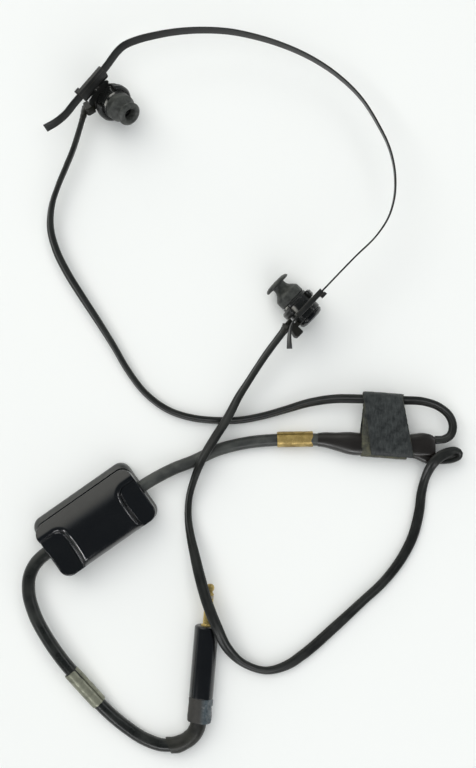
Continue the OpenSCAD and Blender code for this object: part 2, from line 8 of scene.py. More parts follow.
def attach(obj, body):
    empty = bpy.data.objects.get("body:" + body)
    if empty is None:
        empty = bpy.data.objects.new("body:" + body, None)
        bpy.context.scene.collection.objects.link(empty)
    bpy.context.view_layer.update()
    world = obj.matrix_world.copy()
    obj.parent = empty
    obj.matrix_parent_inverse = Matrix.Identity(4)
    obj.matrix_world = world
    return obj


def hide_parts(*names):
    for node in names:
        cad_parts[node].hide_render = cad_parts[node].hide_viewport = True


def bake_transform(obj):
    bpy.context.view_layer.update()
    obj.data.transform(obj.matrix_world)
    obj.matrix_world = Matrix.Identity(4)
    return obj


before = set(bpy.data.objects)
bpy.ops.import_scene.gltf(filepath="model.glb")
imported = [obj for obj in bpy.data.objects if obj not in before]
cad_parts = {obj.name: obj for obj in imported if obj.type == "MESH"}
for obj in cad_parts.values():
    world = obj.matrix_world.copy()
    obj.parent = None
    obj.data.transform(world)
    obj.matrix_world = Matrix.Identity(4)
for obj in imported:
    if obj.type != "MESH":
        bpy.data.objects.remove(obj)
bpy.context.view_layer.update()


# ---- table, lamps and camera ---------------------------------------------------------------------
# The headset lies on a white table top under two large soft panels, with the camera straight above
# it. Four bright cards light nothing: they are only mirrored in its polished pieces.
def linear(code):
    """The linear colour of an sRGB hex code, with full alpha."""
    parts = [int(code[i:i + 2], 16) / 255 for i in (1, 3, 5)]
    return [c / 12.92 if c <= 0.04045 else ((c + 0.055) / 1.055) ** 2.4 for c in parts] + [1.0]


def add(material, kind, inputs=None, **settings):
    """A shader node with its settings, its values and its links."""
    made = material.node_tree.nodes.new(kind)
    for name, value in settings.items():
        setattr(made, name, value)
    for socket, value in (inputs or {}).items():
        if isinstance(value, bpy.types.NodeSocket):
            material.node_tree.links.new(value, made.inputs[socket])
        else:
            made.inputs[socket].default_value = value
    return made


def new_material(name, **values):
    """A material whose principled shader has these plain values."""
    material = bpy.data.materials.new(name)
    material.use_nodes = True
    surface = material.node_tree.nodes["Principled BSDF"]
    for socket, value in values.items():
        surface.inputs[socket.replace("_", " ")].default_value = value
    return material, surface


# Satin white laminate: even, almost without gloss, a trace off white
laminate, laminate_surface = new_material(
    "satin_laminate", Base_Color=linear("#f3f4f1"), Roughness=0.6)
laminate_surface.inputs["Specular IOR Level"].default_value = 0.2
TABLE_HALF = 4
top = bpy.data.meshes.new("table_top")
top.from_pydata([(x * TABLE_HALF, y * TABLE_HALF, 0) for x, y in ((-1, -1), (1, -1), (1, 1), (-1, 1))],
                [], [(0, 1, 2, 3)])
top.materials.append(laminate)
table_top = bpy.data.objects.new("table_top", top)
bpy.context.collection.objects.link(table_top)

AIM, LAMP_DISTANCE = Vector((0.012, -0.138, 0)), 2
# compass angle, angle from the zenith, width, height, radiance, and what the lamp is for: to light
# the table or to be mirrored in the polished pieces
for name, compass, slant, wide, high, radiance, lights, mirrored in [
        ("overhead_panel", 118, 20, 2.7, 2.7, 1.76, True, False),
        ("wall_panel", 300, 52, 2.2, 2.2, 1.15, True, False),
        ("left_card", 264, 58, 1.3, 0.3, 12, False, True),
        ("left_spot", 215, 57, 0.16, 0.3, 20, False, True),
        ("right_card", 12, 57, 0.5, 0.25, 9, False, True),
        ("right_spot", 35, 57, 0.14, 0.25, 14, False, True)]:
    lamp = bpy.data.lights.new(name, "AREA")
    lamp.shape, lamp.size, lamp.size_y = "RECTANGLE", wide, high
    lamp.energy = radiance * math.pi * wide * high
    holder = bpy.data.objects.new(name, lamp)
    turn, tilt = math.radians(compass), math.radians(slant)
    holder.location = AIM + LAMP_DISTANCE * Vector((
        math.cos(turn) * math.sin(tilt), math.sin(turn) * math.sin(tilt), math.cos(tilt)))
    holder.rotation_euler = (AIM - holder.location).to_track_quat("-Z", "Y").to_euler()
    bpy.context.collection.objects.link(holder)
    holder.visible_diffuse, holder.visible_glossy = lights, mirrored

# A dim room: its walls are pale only along their foot, and most of all to the left, and one wide
# bright window is high on the band's side, so that polished tops stay black and every rounded edge on
# that side turns grey
WINDOW, PALE_WALL = (-0.497, 0.709, 0.5), (-0.87, 0.5, 0)
world = bpy.data.worlds.new("dim_room")
bpy.context.scene.world = world
world.use_nodes = True
direction = add(world, "ShaderNodeTexCoord").outputs["Generated"]
height = add(world, "ShaderNodeSeparateXYZ", {"Vector": direction}).outputs["Z"]
walls = add(world, "ShaderNodeMapRange", {
    "Value": height, "From Min": 0.0, "From Max": 0.4, "To Min": 0.75, "To Max": 0.0},
    interpolation_type="SMOOTHSTEP")
leftward = add(world, "ShaderNodeVectorMath", {0: direction, 1: PALE_WALL}, operation="DOT_PRODUCT")
nearer = add(world, "ShaderNodeMapRange", {
    "Value": leftward.outputs["Value"], "From Min": -0.8, "From Max": 0.6, "To Min": 0.25, "To Max": 1.0})
walls = add(world, "ShaderNodeMath", {
    0: walls.outputs["Result"], 1: nearer.outputs["Result"], 2: 0.16}, operation="MULTIPLY_ADD")
facing = add(world, "ShaderNodeVectorMath", {0: direction, 1: WINDOW}, operation="DOT_PRODUCT")
window = add(world, "ShaderNodeMapRange", {
    "Value": facing.outputs["Value"], "From Min": 0.76, "From Max": 1.0, "To Min": 0.0, "To Max": 1.25},
    interpolation_type="SMOOTHSTEP")
room = add(world, "ShaderNodeMath", {
    0: walls.outputs["Value"], 1: window.outputs["Result"]}, operation="ADD")
tone = add(world, "ShaderNodeMix", {
    "Factor": room.outputs["Value"], 6: linear("#c3d6ea"), 7: linear("#fdfdf6")}, data_type="RGBA")
background = world.node_tree.nodes["Background"]
world.node_tree.links.new(tone.outputs[2], background.inputs["Color"])
world.node_tree.links.new(room.outputs["Value"], background.inputs["Strength"])
bpy.context.scene.view_settings.view_transform = "Standard"

# the longer side of the view is 768 pixels, and a metre seen from a metre away takes up 1390 of them
SENSOR, VIEW_SIDE, METRE_IN_VIEW, CAMERA_HEIGHT = 36, 768, 1390, 1.02
camera = bpy.data.objects.new("camera", bpy.data.cameras.new("camera"))
camera.data.sensor_width = SENSOR
camera.data.lens = SENSOR * METRE_IN_VIEW / VIEW_SIDE
camera.data.clip_start, camera.data.clip_end = 0.05, 20
camera.location = AIM + Vector((0, 0, CAMERA_HEIGHT))
bpy.context.collection.objects.link(camera)
bpy.context.scene.camera = camera

# ---- flat twin leads -----------------------------------------------------------------------------
# Each receiver's lead is two insulated cores side by side in one extruded rubber jacket, 8 mm wide,
# with a groove between them. It lies twisted, so its width shows more or less along the way.
LEAD_WIDTH, LEAD_THICK, LEAD_BEND, CORD_STEP = 0.0082, 0.0042, 0.064, 0.0016
# points of the middle of each lead, with its roll in degrees
left_lead_route = [
    (-0.101, 0.0525, 0.0136, 82), (-0.1038, 0.043, 0.0134, 84), (-0.1075, 0.0318, 0.013, 86),
    (-0.1128, 0.019, 0.0126, 86), (-0.1184, 0.0057, 0.0122, 82), (-0.1229, -0.0081, 0.012, 72),
    (-0.124, -0.025, 0.0116, 62), (-0.1202, -0.0403, 0.011, 58), (-0.1128, -0.0559, 0.0104, 58),
    (-0.1017, -0.074, 0.0096, 60), (-0.09, -0.092, 0.0086, 66), (-0.0786, -0.1103, 0.0074, 72),
    (-0.0687, -0.1274, 0.0062, 74), (-0.0553, -0.1449, 0.0052, 74),
    (-0.0382, -0.1573, 0.0048, 72), (-0.0213, -0.1627, 0.0046, 70), (-0.005, -0.1645, 0.0046, 68),
    (0.0136, -0.1643, 0.0046, 66), (0.0297, -0.1614, 0.005, 66), (0.0465, -0.1567, 0.006, 62),
    (0.0644, -0.1515, 0.008, 52), (0.0824, -0.1488, 0.0108, 46), (0.1005, -0.1488, 0.0136, 46),
    (0.116, -0.1491, 0.0142, 46), (0.132, -0.1498, 0.0142, 50), (0.1463, -0.1507, 0.0134, 55),
    (0.1584, -0.155, 0.0124, 60), (0.1658, -0.1618, 0.0115, 62), (0.168, -0.1694, 0.0109, 62),
    (0.1662, -0.1754, 0.0103, 62), (0.1618, -0.1781, 0.01, 62), (0.1554, -0.1786, 0.0098, 62)]
right_lead_route = [
    (0.044, -0.101, 0.0186, 66), (0.0403, -0.1059, 0.0176, 68), (0.0328, -0.116, 0.0166, 68),
    (0.0256, -0.1267, 0.0156, 70), (0.0192, -0.1367, 0.0142, 68), (0.0132, -0.146, 0.013, 60),
    (0.0045, -0.1624, 0.0128, 48), (-0.0059, -0.1788, 0.0134, 46), (-0.0129, -0.1905, 0.0143, 52),
    (-0.0196, -0.2063, 0.01, 64), (-0.0238, -0.2224, 0.0066, 70), (-0.0243, -0.2355, 0.007, 64),
    (-0.0224, -0.2486, 0.011, 50), (-0.0193, -0.2617, 0.015, 32), (-0.0154, -0.2777, 0.0176, 14),
    (-0.0103, -0.2952, 0.0188, 10), (-0.0038, -0.3115, 0.0206, 14), (0.0049, -0.3299, 0.0145, 30),
    (0.017, -0.342, 0.0075, 52), (0.033, -0.3472, 0.0048, 50), (0.0491, -0.3428, 0.0042, 28),
    (0.0588, -0.3363, 0.004, 20), (0.0816, -0.3166, 0.004, 20), (0.1044, -0.2955, 0.0044, 34),
    (0.1162, -0.2847, 0.0044, 32), (0.131, -0.2663, 0.004, 24), (0.1395, -0.25, 0.0038, 20),
    (0.1444, -0.231, 0.004, 24), (0.1463, -0.216, 0.0044, 34), (0.1482, -0.2081, 0.0056, 40),
    (0.1506, -0.2008, 0.0096, 28), (0.1543, -0.1942, 0.0134, 18), (0.159, -0.1901, 0.0137, 16),
    (0.1642, -0.1878, 0.0126, 24), (0.1691, -0.1869, 0.0106, 44), (0.1724, -0.1883, 0.0082, 66),
    (0.1725, -0.1909, 0.0064, 76), (0.1688, -0.1929, 0.0057, 76), (0.1638, -0.1938, 0.0058, 76),
    (0.159, -0.194, 0.0061, 76), (0.1542, -0.1936, 0.0064, 76)]


def distances(points):
    """How far along a line of points each of them is."""
    return np.concatenate([[0], np.cumsum(np.linalg.norm(np.diff(points, axis=0), axis=1))])


def smooth(table, keys, at):
    """A table with a row for each key, joined smoothly and read at other keys."""
    slope = np.gradient(table, keys, axis=0)
    i = np.clip(np.searchsorted(keys, at, side="right") - 1, 0, len(keys) - 2)
    h = (keys[i + 1] - keys[i])[:, None]
    u = (at - keys[i])[:, None] / h
    return ((2 * u**3 - 3 * u**2 + 1) * table[i] + (u**3 - 2 * u**2 + u) * h * slope[i]
            + (3 * u**2 - 2 * u**3) * table[i + 1] + (u**3 - u**2) * h * slope[i + 1])


def follow(route, step):
    """The route's points joined by one smooth curve and taken again at even steps along it."""
    points = np.array(route, float)
    along_it = distances(points[:, :3])
    count = max(3, round(along_it[-1] / step) + 1)
    return smooth(points, along_it, np.linspace(0, along_it[-1], count))


def part_of(name, vertices, faces, material, smooth=True):
    """A new mesh piece of the object."""
    mesh = bpy.data.meshes.new(name)
    mesh.from_pydata([tuple(v) for v in vertices], [], faces)
    mesh.validate()
    shape = bmesh.new()
    shape.from_mesh(mesh)
    bmesh.ops.recalc_face_normals(shape, faces=shape.faces)
    shape.to_mesh(mesh)
    shape.free()
    mesh.polygons.foreach_set("use_smooth", [smooth] * len(mesh.polygons))
    mesh.materials.append(material)
    piece = bpy.data.objects.new(name, mesh)
    bpy.context.collection.objects.link(piece)
    return piece


def frames(line):
    """For each point of a line with roll: the ways across its width and through its thickness."""
    p = line[:, :3]
    d = np.gradient(p, axis=0)
    d /= np.linalg.norm(d, axis=1)[:, None]
    level = np.stack([d[:, 1], -d[:, 0], np.zeros(len(d))], axis=1)
    level /= np.linalg.norm(level, axis=1)[:, None]
    up = np.cross(level, d)
    roll = np.radians(line[:, 3])[:, None] if line.shape[1] > 3 else np.zeros((len(d), 1))
    return np.cos(roll) * level - np.sin(roll) * up, np.sin(roll) * level + np.cos(roll) * up


def loft(name, rows, material, dome=0.0):
    """A closed skin over rings of as many points each; its ends close flat or in a low dome."""
    rows = [np.asarray(row, float) for row in rows]
    if dome:
        for end, inner in ((0, 1), (-1, -2)):
            ring, centre = rows[end], rows[end].mean(axis=0)
            way = centre - rows[inner].mean(axis=0)
            way = way / np.linalg.norm(way) * dome
            for k in (0.55, 0.85):
                lid = centre + (ring - centre) * math.sqrt(1 - k * k) + way * k
                rows = [lid, *rows] if end == 0 else [*rows, lid]
    n, rings = len(rows[0]), len(rows)
    faces = [(i * n + a, i * n + (a + 1) % n, (i + 1) * n + (a + 1) % n, (i + 1) * n + a)
             for i in range(rings - 1) for a in range(n)]
    faces += [tuple(range(n)), tuple((rings - 1) * n + a for a in range(n))]
    return part_of(name, np.concatenate(rows), faces, material)


def skin(name, line, outline, material, swell=None, round_ends=True):
    """A closed skin whose outline, in metres across and through, is carried along the line.
    swell(i, a) scales point a of the outline at ring i; the ends close in a low dome or flat."""
    across, through = frames(line)
    outline = np.asarray(outline, float)
    n = len(outline)
    rows = []
    for i, point in enumerate(line[:, :3]):
        size = np.ones((n, 1)) if swell is None else np.array(
            [[swell(i, a)] for a in range(n)])
        rows.append(point + (outline[:, :1] * across[i] + outline[:, 1:] * through[i]) * size)
    return loft(name, rows, material, np.abs(outline).min(axis=1).max() * 0.5 if round_ends else 0)


def twin_outline(width, thick, groove, count=28):
    """Two cores side by side: an oval with a groove along the middle of both faces."""
    a = np.linspace(0, 2 * math.pi, count, endpoint=False) + math.pi / count
    x = width / 2 * np.sign(np.cos(a)) * np.abs(np.cos(a)) ** 0.86
    y = thick / 2 * np.sin(a) * (1.06 - groove * np.exp(-(x / (width * 0.13)) ** 2))
    return np.stack([x, y], axis=1)


def join(material, output, surface, socket):
    """Links an output to a socket of the material's shader."""
    material.node_tree.links.new(output, surface.inputs[socket])


def aged_rubber(name, colour, bloom, gloss, grain):
    """Vulcanised rubber, extruded or moulded: near black, dull where its grey bloom lies, and
    smoother where handling has rubbed it."""
    material, surface = new_material(name, Roughness=gloss, IOR=1.4, Coat_Roughness=0.3)
    surface.inputs["Coat Weight"].default_value = 0.08
    spot = add(material, "ShaderNodeTexCoord").outputs["Object"]
    # the bloom lies in patches of about 14 mm
    cloud = add(material, "ShaderNodeTexNoise",
                {"Vector": spot, "Scale": 1 / 0.014, "Detail": 6.0, "Roughness": 0.62})
    patch = add(material, "ShaderNodeMapRange",
                {"Value": cloud.outputs["Fac"], "From Min": 0.42, "From Max": 0.72})
    tint = add(material, "ShaderNodeMix", {
        "Factor": patch.outputs["Result"], 6: linear(colour), 7: linear(bloom)}, data_type="RGBA")
    join(material, tint.outputs[2], surface, "Base Color")
    dull = add(material, "ShaderNodeMapRange", {
        "Value": cloud.outputs["Fac"], "From Min": 0.35, "From Max": 0.7,
        "To Min": gloss - 0.07, "To Max": gloss + 0.14})
    join(material, dull.outputs["Result"], surface, "Roughness")
    # grain of the jacket, drawn at 0.6 mm, several times too coarse, so that it shows
    fine = add(material, "ShaderNodeTexNoise",
               {"Vector": spot, "Scale": 1 / 0.0006, "Detail": 3.0, "Roughness": 0.55})
    bump = add(material, "ShaderNodeBump", {
        "Height": fine.outputs["Fac"], "Strength": grain, "Distance": 0.0003})
    join(material, bump.outputs["Normal"], surface, "Normal")
    return material


jacket = aged_rubber("extruded_rubber_jacket", "#151614", "#222421", 0.4, 0.12)
lead_outline = twin_outline(LEAD_WIDTH, LEAD_THICK, 0.34)
for side, route in (("left", left_lead_route), ("right", right_lead_route)):
    line = follow(route, CORD_STEP)
    lead = skin(side + "_twin_lead", line, lead_outline, jacket)
    end = Vector(route[0][:3])
    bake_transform(lead)
    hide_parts(side + "_lead")

# ---- round cord ----------------------------------------------------------------------------------
# One round four-core rubber cord, 9 mm thick above the transformer box and 9.6 mm below it. It leaves
# the junction, goes through the box and ends in the plug; it keeps slight waves from being coiled.
UPPER_CORD, LOWER_CORD = 0.009, 0.0096
upper_cord_route = [
    (0.071, -0.1785, 0.0078), (0.057, -0.1784, 0.0066), (0.0405, -0.1788, 0.0054),
    (0.018, -0.181, 0.0048), (-0.004, -0.1866, 0.0048), (-0.02, -0.194, 0.0054),
    (-0.0355, -0.2, 0.0076), (-0.046, -0.2052, 0.0106), (-0.0554, -0.2107, 0.0124),
    (-0.0591, -0.2133, 0.0124), (-0.0639, -0.2166, 0.0124)]
# its last point is a little way inside the rubber sleeve of the plug
lower_cord_route = [
    (-0.1199, -0.2558, 0.0124), (-0.1247, -0.2591, 0.0124), (-0.1284, -0.2618, 0.0125),
    (-0.1346, -0.268, 0.013), (-0.1388, -0.2768, 0.0136),
    (-0.1395, -0.2875, 0.0144), (-0.1353, -0.3035, 0.0154), (-0.1255, -0.3222, 0.0156),
    (-0.1158, -0.3365, 0.0148), (-0.1034, -0.352, 0.0128), (-0.0889, -0.3702, 0.009),
    (-0.071, -0.387, 0.0062), (-0.055, -0.3974, 0.0059), (-0.042, -0.4014, 0.0061),
    (-0.035, -0.4013, 0.0061)]


def round_outline(diameter, count=32):
    """A circle about the middle of a cord."""
    a = np.linspace(0, 2 * math.pi, count, endpoint=False)
    return np.stack([np.cos(a), np.sin(a)], axis=1) * diameter / 2


handled_jacket = aged_rubber("extruded_cord_rubber", "#151715", "#272926", 0.31, 0.1)
bloomed_jacket = aged_rubber("bloomed_cord_rubber", "#303230", "#4b4d49", 0.45, 0.14)
for name, node, route, diameter, cord_jacket in (
        ("upper_round_cord", "main_cord_upper", upper_cord_route, UPPER_CORD, bloomed_jacket),
        ("lower_round_cord", "main_cord_lower", lower_cord_route, LOWER_CORD, handled_jacket)):
    line = follow(route, CORD_STEP)
    cord = skin(name, line, round_outline(diameter), cord_jacket)
    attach(cord, "headset")
    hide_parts(node)

# ---- headband ------------------------------------------------------------------------------------
# One flat spring-steel strip, 6.4 mm wide, bent to a loop that goes round the head and finished in
# black baked enamel. Its long edges have worn through to brown steel in places.
BAND_WIDTH, BAND_THICK = 0.0064, 0.0012
LEFT_CENTRE, LEFT_COMPASS, LEFT_ROLL = Vector((-0.092, 0.0763, 0.0302)), 49, 52
RIGHT_CENTRE, RIGHT_COMPASS, RIGHT_ROLL = Vector((0.063, -0.081, 0.0352)), 226, 90


def along(centre, compass, steps, roll):
    """Points of the straight run of band at a slider."""
    way = Vector((math.cos(math.radians(compass)), math.sin(math.radians(compass)), 0))
    return [(*(centre + way * step), roll) for step in steps]


band_route = [
    (-0.1255, 0.0445, 0.028, 46), (-0.118, 0.0485, 0.029, 48), (-0.1105, 0.0545, 0.0298, 51),
    *along(LEFT_CENTRE, LEFT_COMPASS, (-0.019, -0.0132, 0, 0.0132, 0.036), LEFT_ROLL),
    (-0.06, 0.107, 0.03, 53), (-0.047, 0.1105, 0.0294, 56), (-0.0295, 0.1135, 0.0288, 60),
    (-0.0115, 0.1145, 0.0282, 63), (0.0065, 0.1135, 0.0278, 66), (0.024, 0.11, 0.0276, 69),
    (0.0435, 0.104, 0.0276, 73), (0.0635, 0.095, 0.0278, 76), (0.0825, 0.0825, 0.0284, 80),
    (0.099, 0.0665, 0.0294, 84), (0.1115, 0.047, 0.0306, 87), (0.12, 0.0285, 0.0318, 89),
    (0.1235, 0.0105, 0.0328, 90), (0.123, -0.005, 0.0336, 90), (0.119, -0.019, 0.0346, 90),
    (0.11, -0.033, 0.0352, 90),
    *along(RIGHT_CENTRE, RIGHT_COMPASS, (-0.047, -0.0132, 0, 0.0132, 0.015), RIGHT_ROLL),
    (0.05, -0.096, 0.035, 86), (0.0485, -0.103, 0.0346, 76), (0.0485, -0.113, 0.0342, 62)]


def wear_mask(material, radius, low, high, scale):
    """0 on flat faces and 1 along worn edges, broken up by a noise of that scale in metres. Gives
    the coordinates too, for what else the material draws."""
    rounded = add(material, "ShaderNodeBevel", {"Radius": radius}, samples=6)
    plain = add(material, "ShaderNodeNewGeometry")
    facing = add(material, "ShaderNodeVectorMath", {
        0: rounded.outputs["Normal"], 1: plain.outputs["Normal"]}, operation="DOT_PRODUCT")
    spot = add(material, "ShaderNodeTexCoord").outputs["Object"]
    broken = add(material, "ShaderNodeTexNoise",
                 {"Vector": spot, "Scale": 1 / scale, "Detail": 5.0, "Roughness": 0.7})
    turned = add(material, "ShaderNodeMath", {0: 1.0, 1: facing.outputs["Value"]}, operation="SUBTRACT")
    mixed = add(material, "ShaderNodeMath", {
        0: turned.outputs["Value"], 1: broken.outputs["Fac"]}, operation="MULTIPLY")
    mask = add(material, "ShaderNodeMapRange", {
        "Value": mixed.outputs["Value"], "From Min": low, "From Max": high})
    return mask.outputs["Result"], spot


def baked_enamel(name, colour, bare, gloss):
    """Black enamel sprayed on sheet metal and baked: a low even gloss, and the bare metal's own
    colour along its worn edges."""
    material, surface = new_material(name, Roughness=gloss, IOR=1.5)
    rubbed, spot = wear_mask(material, 0.00035, 0.02, 0.16, 0.0025)
    # where a piece is marked, its coat is painted as bare metal: partly wear where metal pieces rub,
    # and partly a painted highlight on edges and rims
    bare_and_highlight = add(material, "ShaderNodeAttribute", attribute_name="bare_and_highlight")
    worn = add(material, "ShaderNodeMath", {
        0: rubbed, 1: bare_and_highlight.outputs["Fac"]}, operation="MAXIMUM").outputs["Value"]
    smear = add(material, "ShaderNodeTexNoise",
                {"Vector": spot, "Scale": 1 / 0.009, "Detail": 5.0, "Roughness": 0.6})
    faded = add(material, "ShaderNodeMix", {
        "Factor": smear.outputs["Fac"], 6: linear(colour), 7: linear("#1f201e")}, data_type="RGBA")
    tint = add(material, "ShaderNodeMix", {
        "Factor": worn, 6: faded.outputs[2], 7: linear(bare)}, data_type="RGBA")
    join(material, tint.outputs[2], surface, "Base Color")
    shine = add(material, "ShaderNodeMapRange", {
        "Value": smear.outputs["Fac"], "From Min": 0.3, "From Max": 0.7,
        "To Min": gloss - 0.08, "To Max": gloss + 0.12})
    join(material, shine.outputs["Result"], surface, "Roughness")
    metal = add(material, "ShaderNodeMath", {0: worn, 1: 0.6}, operation="MULTIPLY")
    join(material, metal.outputs["Value"], surface, "Metallic")
    # orange peel of the sprayed coat, drawn at 0.8 mm
    peel = add(material, "ShaderNodeTexNoise", {"Vector": spot, "Scale": 1 / 0.0008, "Detail": 2.0})
    bump = add(material, "ShaderNodeBump",
               {"Height": peel.outputs["Fac"], "Strength": 0.1, "Distance": 0.0002})
    join(material, bump.outputs["Normal"], surface, "Normal")
    return material


def soften(outline, radius, steps=4):
    """A closed outline with its corners rounded, each as far as its edges allow."""
    points = [Vector(p) for p in outline]
    made = []
    for i, corner in enumerate(points):
        before, after = points[i - 1] - corner, points[(i + 1) % len(points)] - corner
        if before.length < 1e-9 or after.length < 1e-9:
            continue
        half = before.angle(after) / 2
        cut = min(radius / max(math.tan(half), 1e-3), before.length * 0.48, after.length * 0.48)
        a, b = corner + before.normalized() * cut, corner + after.normalized() * cut
        for k in range(steps + 1):
            u = k / steps
            made.append(tuple(a * (1 - u) ** 2 + corner * 2 * u * (1 - u) + b * u ** 2))
    return made


enamel = baked_enamel("baked_black_enamel", "#141413", "#6a5c48", 0.34)
band_line = follow(band_route, 0.0025)
band_outline = soften([(-BAND_WIDTH / 2, -BAND_THICK / 2), (BAND_WIDTH / 2, -BAND_THICK / 2),
                       (BAND_WIDTH / 2, BAND_THICK / 2), (-BAND_WIDTH / 2, BAND_THICK / 2)], 0.0004, 3)
headband = skin("spring_headband", band_line, band_outline, enamel, round_ends=False)
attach(headband, "headset")
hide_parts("headband")

# ---- slider clips and swing arms -----------------------------------------------------------------
# Each receiver hangs on a steel clip, folded from sheet round the band, that slides along it for
# fit. A tongue on the clip carries a rivet, and the flat enamelled arm of the receiver swings on it.
MM = 0.001
BAND_SIDE, TONGUE_SIDE, RIVET_Y, ARM_LENGTH = 4.3, 8.2, 7.2, 15
SLIDER_HALF, CLIP_TOP, SHEET = 12.3, 1.7, 0.8
ARM_LOW, ARM_HIGH = -0.7, 0.1
CASE_RADIUS = 10.5
# edges that turn by more than this stay crisp
CRISP = math.radians(38)


def slider_place(centre, compass, roll):
    """From millimetres in the slider's own frame to the headset's: X along the band, Z to the ear."""
    return (Matrix.Translation(centre) @ Matrix.Rotation(math.radians(compass), 4, "Z")
            @ Matrix.Rotation(math.radians(roll), 4, "X") @ Matrix.Scale(MM, 4))


def arm_place(slider, swing):
    """The same for the receiver, whose arm has swung on the rivet: the origin on its axis."""
    return (slider @ Matrix.Translation((0, -RIVET_Y, 0)) @ Matrix.Rotation(math.radians(swing), 4, "Z")
            @ Matrix.Translation((0, -ARM_LENGTH, 0)))


def arc(centre, radius, start, end, count):
    """Points of an arc between two angles in degrees."""
    return [(centre[0] + radius * math.cos(math.radians(start + (end - start) * k / count)),
             centre[1] + radius * math.sin(math.radians(start + (end - start) * k / count)))
            for k in range(count + 1)]


def settle(name, mesh, where, material):
    """A mesh made in millimetres becomes a piece at its place in the headset."""
    mesh.transform(where)
    if where.determinant() < 0:
        mesh.flip_normals()
    mesh.polygons.foreach_set("use_smooth", [True] * len(mesh.polygons))
    mesh.set_sharp_from_angle(angle=CRISP)
    mesh.materials.clear()
    mesh.materials.append(material)
    mesh.name = name
    piece = bpy.data.objects.new(name, mesh)
    bpy.context.collection.objects.link(piece)
    return piece


def plate(name, where, loops, low, high, edge, material):
    """A plate between two heights, cut to closed loops (its outline, then its holes), with its
    edges rounded."""
    shape = bpy.data.curves.new(name, "CURVE")
    shape.dimensions, shape.fill_mode = "2D", "BOTH"
    shape.extrude = (high - low) / 2 - edge
    shape.bevel_depth, shape.bevel_resolution, shape.offset = edge, 2, -edge
    for loop in loops:
        spline = shape.splines.new("POLY")
        spline.points.add(len(loop) - 1)
        spline.points.foreach_set("co", [c for p in loop for c in (p[0], p[1], 0, 1)])
        spline.use_cyclic_u = True
    pattern = bpy.data.objects.new(name, shape)
    mesh = bpy.data.meshes.new_from_object(pattern)
    bpy.data.objects.remove(pattern)
    return settle(name, mesh, where @ Matrix.Translation((0, 0, (low + high) / 2)), material)


def wrap(name, where, rings, material, round_again=False):
    """A skin over rings of as many points each, in millimetres. It either goes round again to the
    first ring or is closed flat over the first and the last."""
    made = bmesh.new()
    rings = [[made.verts.new(point) for point in ring] for ring in rings]
    n = len(rings[0])
    for a, b in zip(rings, rings[1:] + rings[:1] if round_again else rings[1:]):
        for i in range(n):
            made.faces.new((a[i], b[i], b[(i + 1) % n], a[(i + 1) % n]))
    if not round_again:
        made.faces.new(rings[0])
        made.faces.new(rings[-1])
    # points on an axis are there once for each ring
    bmesh.ops.remove_doubles(made, verts=made.verts, dist=1e-4)
    bmesh.ops.recalc_face_normals(made, faces=made.faces)
    mesh = bpy.data.meshes.new(name)
    made.to_mesh(mesh)
    made.free()
    return settle(name, mesh, where, material)


def lathe(name, where, profile, material, count=72, radius=0.3, shape=None):
    """A turned piece: a closed profile of (radius, height), its corners rounded, turned about Z.
    shape(angle, point) may move each point."""
    profile = soften(profile, radius, 3)
    rings = []
    for k in range(count):
        a = 2 * math.pi * k / count
        ring = [(r * math.cos(a), r * math.sin(a), z) for r, z in profile]
        rings.append([shape(a, Vector(point)) for point in ring] if shape else ring)
    return wrap(name, where, rings, material, round_again=True)


def stretch(name, where, outline, stations, material):
    """A bar whose outline in Y and Z is carried along X through stations of (x, scale)."""
    middle = Vector((sum(p[0] for p in outline), sum(p[1] for p in outline))) / len(outline)
    rings = [[(x, middle.x + (y - middle.x) * s, middle.y + (z - middle.y) * s) for y, z in outline]
             for x, s in stations]
    return wrap(name, where, rings, material)


def unite(name, parts):
    """Several meshes of one physical piece joined into the first."""
    joined = bmesh.new()
    for part in parts:
        joined.from_mesh(part.data)
    joined.to_mesh(parts[0].data)
    joined.free()
    parts[0].data.set_sharp_from_angle(angle=CRISP)
    for part in parts[1:]:
        bpy.data.objects.remove(part)
    parts[0].name = name
    return parts[0]


def note(piece, layer, values):
    """Keeps one number for each point of a piece, for its material to read."""
    piece.data.attributes.new(layer, "FLOAT", "POINT").data.foreach_set("value", values)


def paint_bare_and_highlight(piece, where, share_at):
    """Paints bare metal onto a piece's coat, for rubbed wear and for painted highlights. The function
    given takes a point in millimetres and says how far the coat has gone there.
    """
    back = where.inverted()
    note(piece, "bare_and_highlight", [share_at(back @ vertex.co) for vertex in piece.data.vertices])


# Cold-headed steel, blackened: dark grey, with a duller scuff about every 0.7 mm
rivet_steel, rivet_surface = new_material(
    "blackened_rivet_steel", Base_Color=linear("#4b4a47"), Metallic=0.9, Roughness=0.42)
spot = add(rivet_steel, "ShaderNodeTexCoord").outputs["Object"]
scuff = add(rivet_steel, "ShaderNodeTexNoise", {"Vector": spot, "Scale": 1 / 0.0007, "Detail": 4.0})
scuffed = add(rivet_steel, "ShaderNodeMapRange", {
    "Value": scuff.outputs["Fac"], "From Min": 0.35, "From Max": 0.65, "To Min": 0.3, "To Max": 0.55})
join(rivet_steel, scuffed.outputs["Result"], rivet_surface, "Roughness")

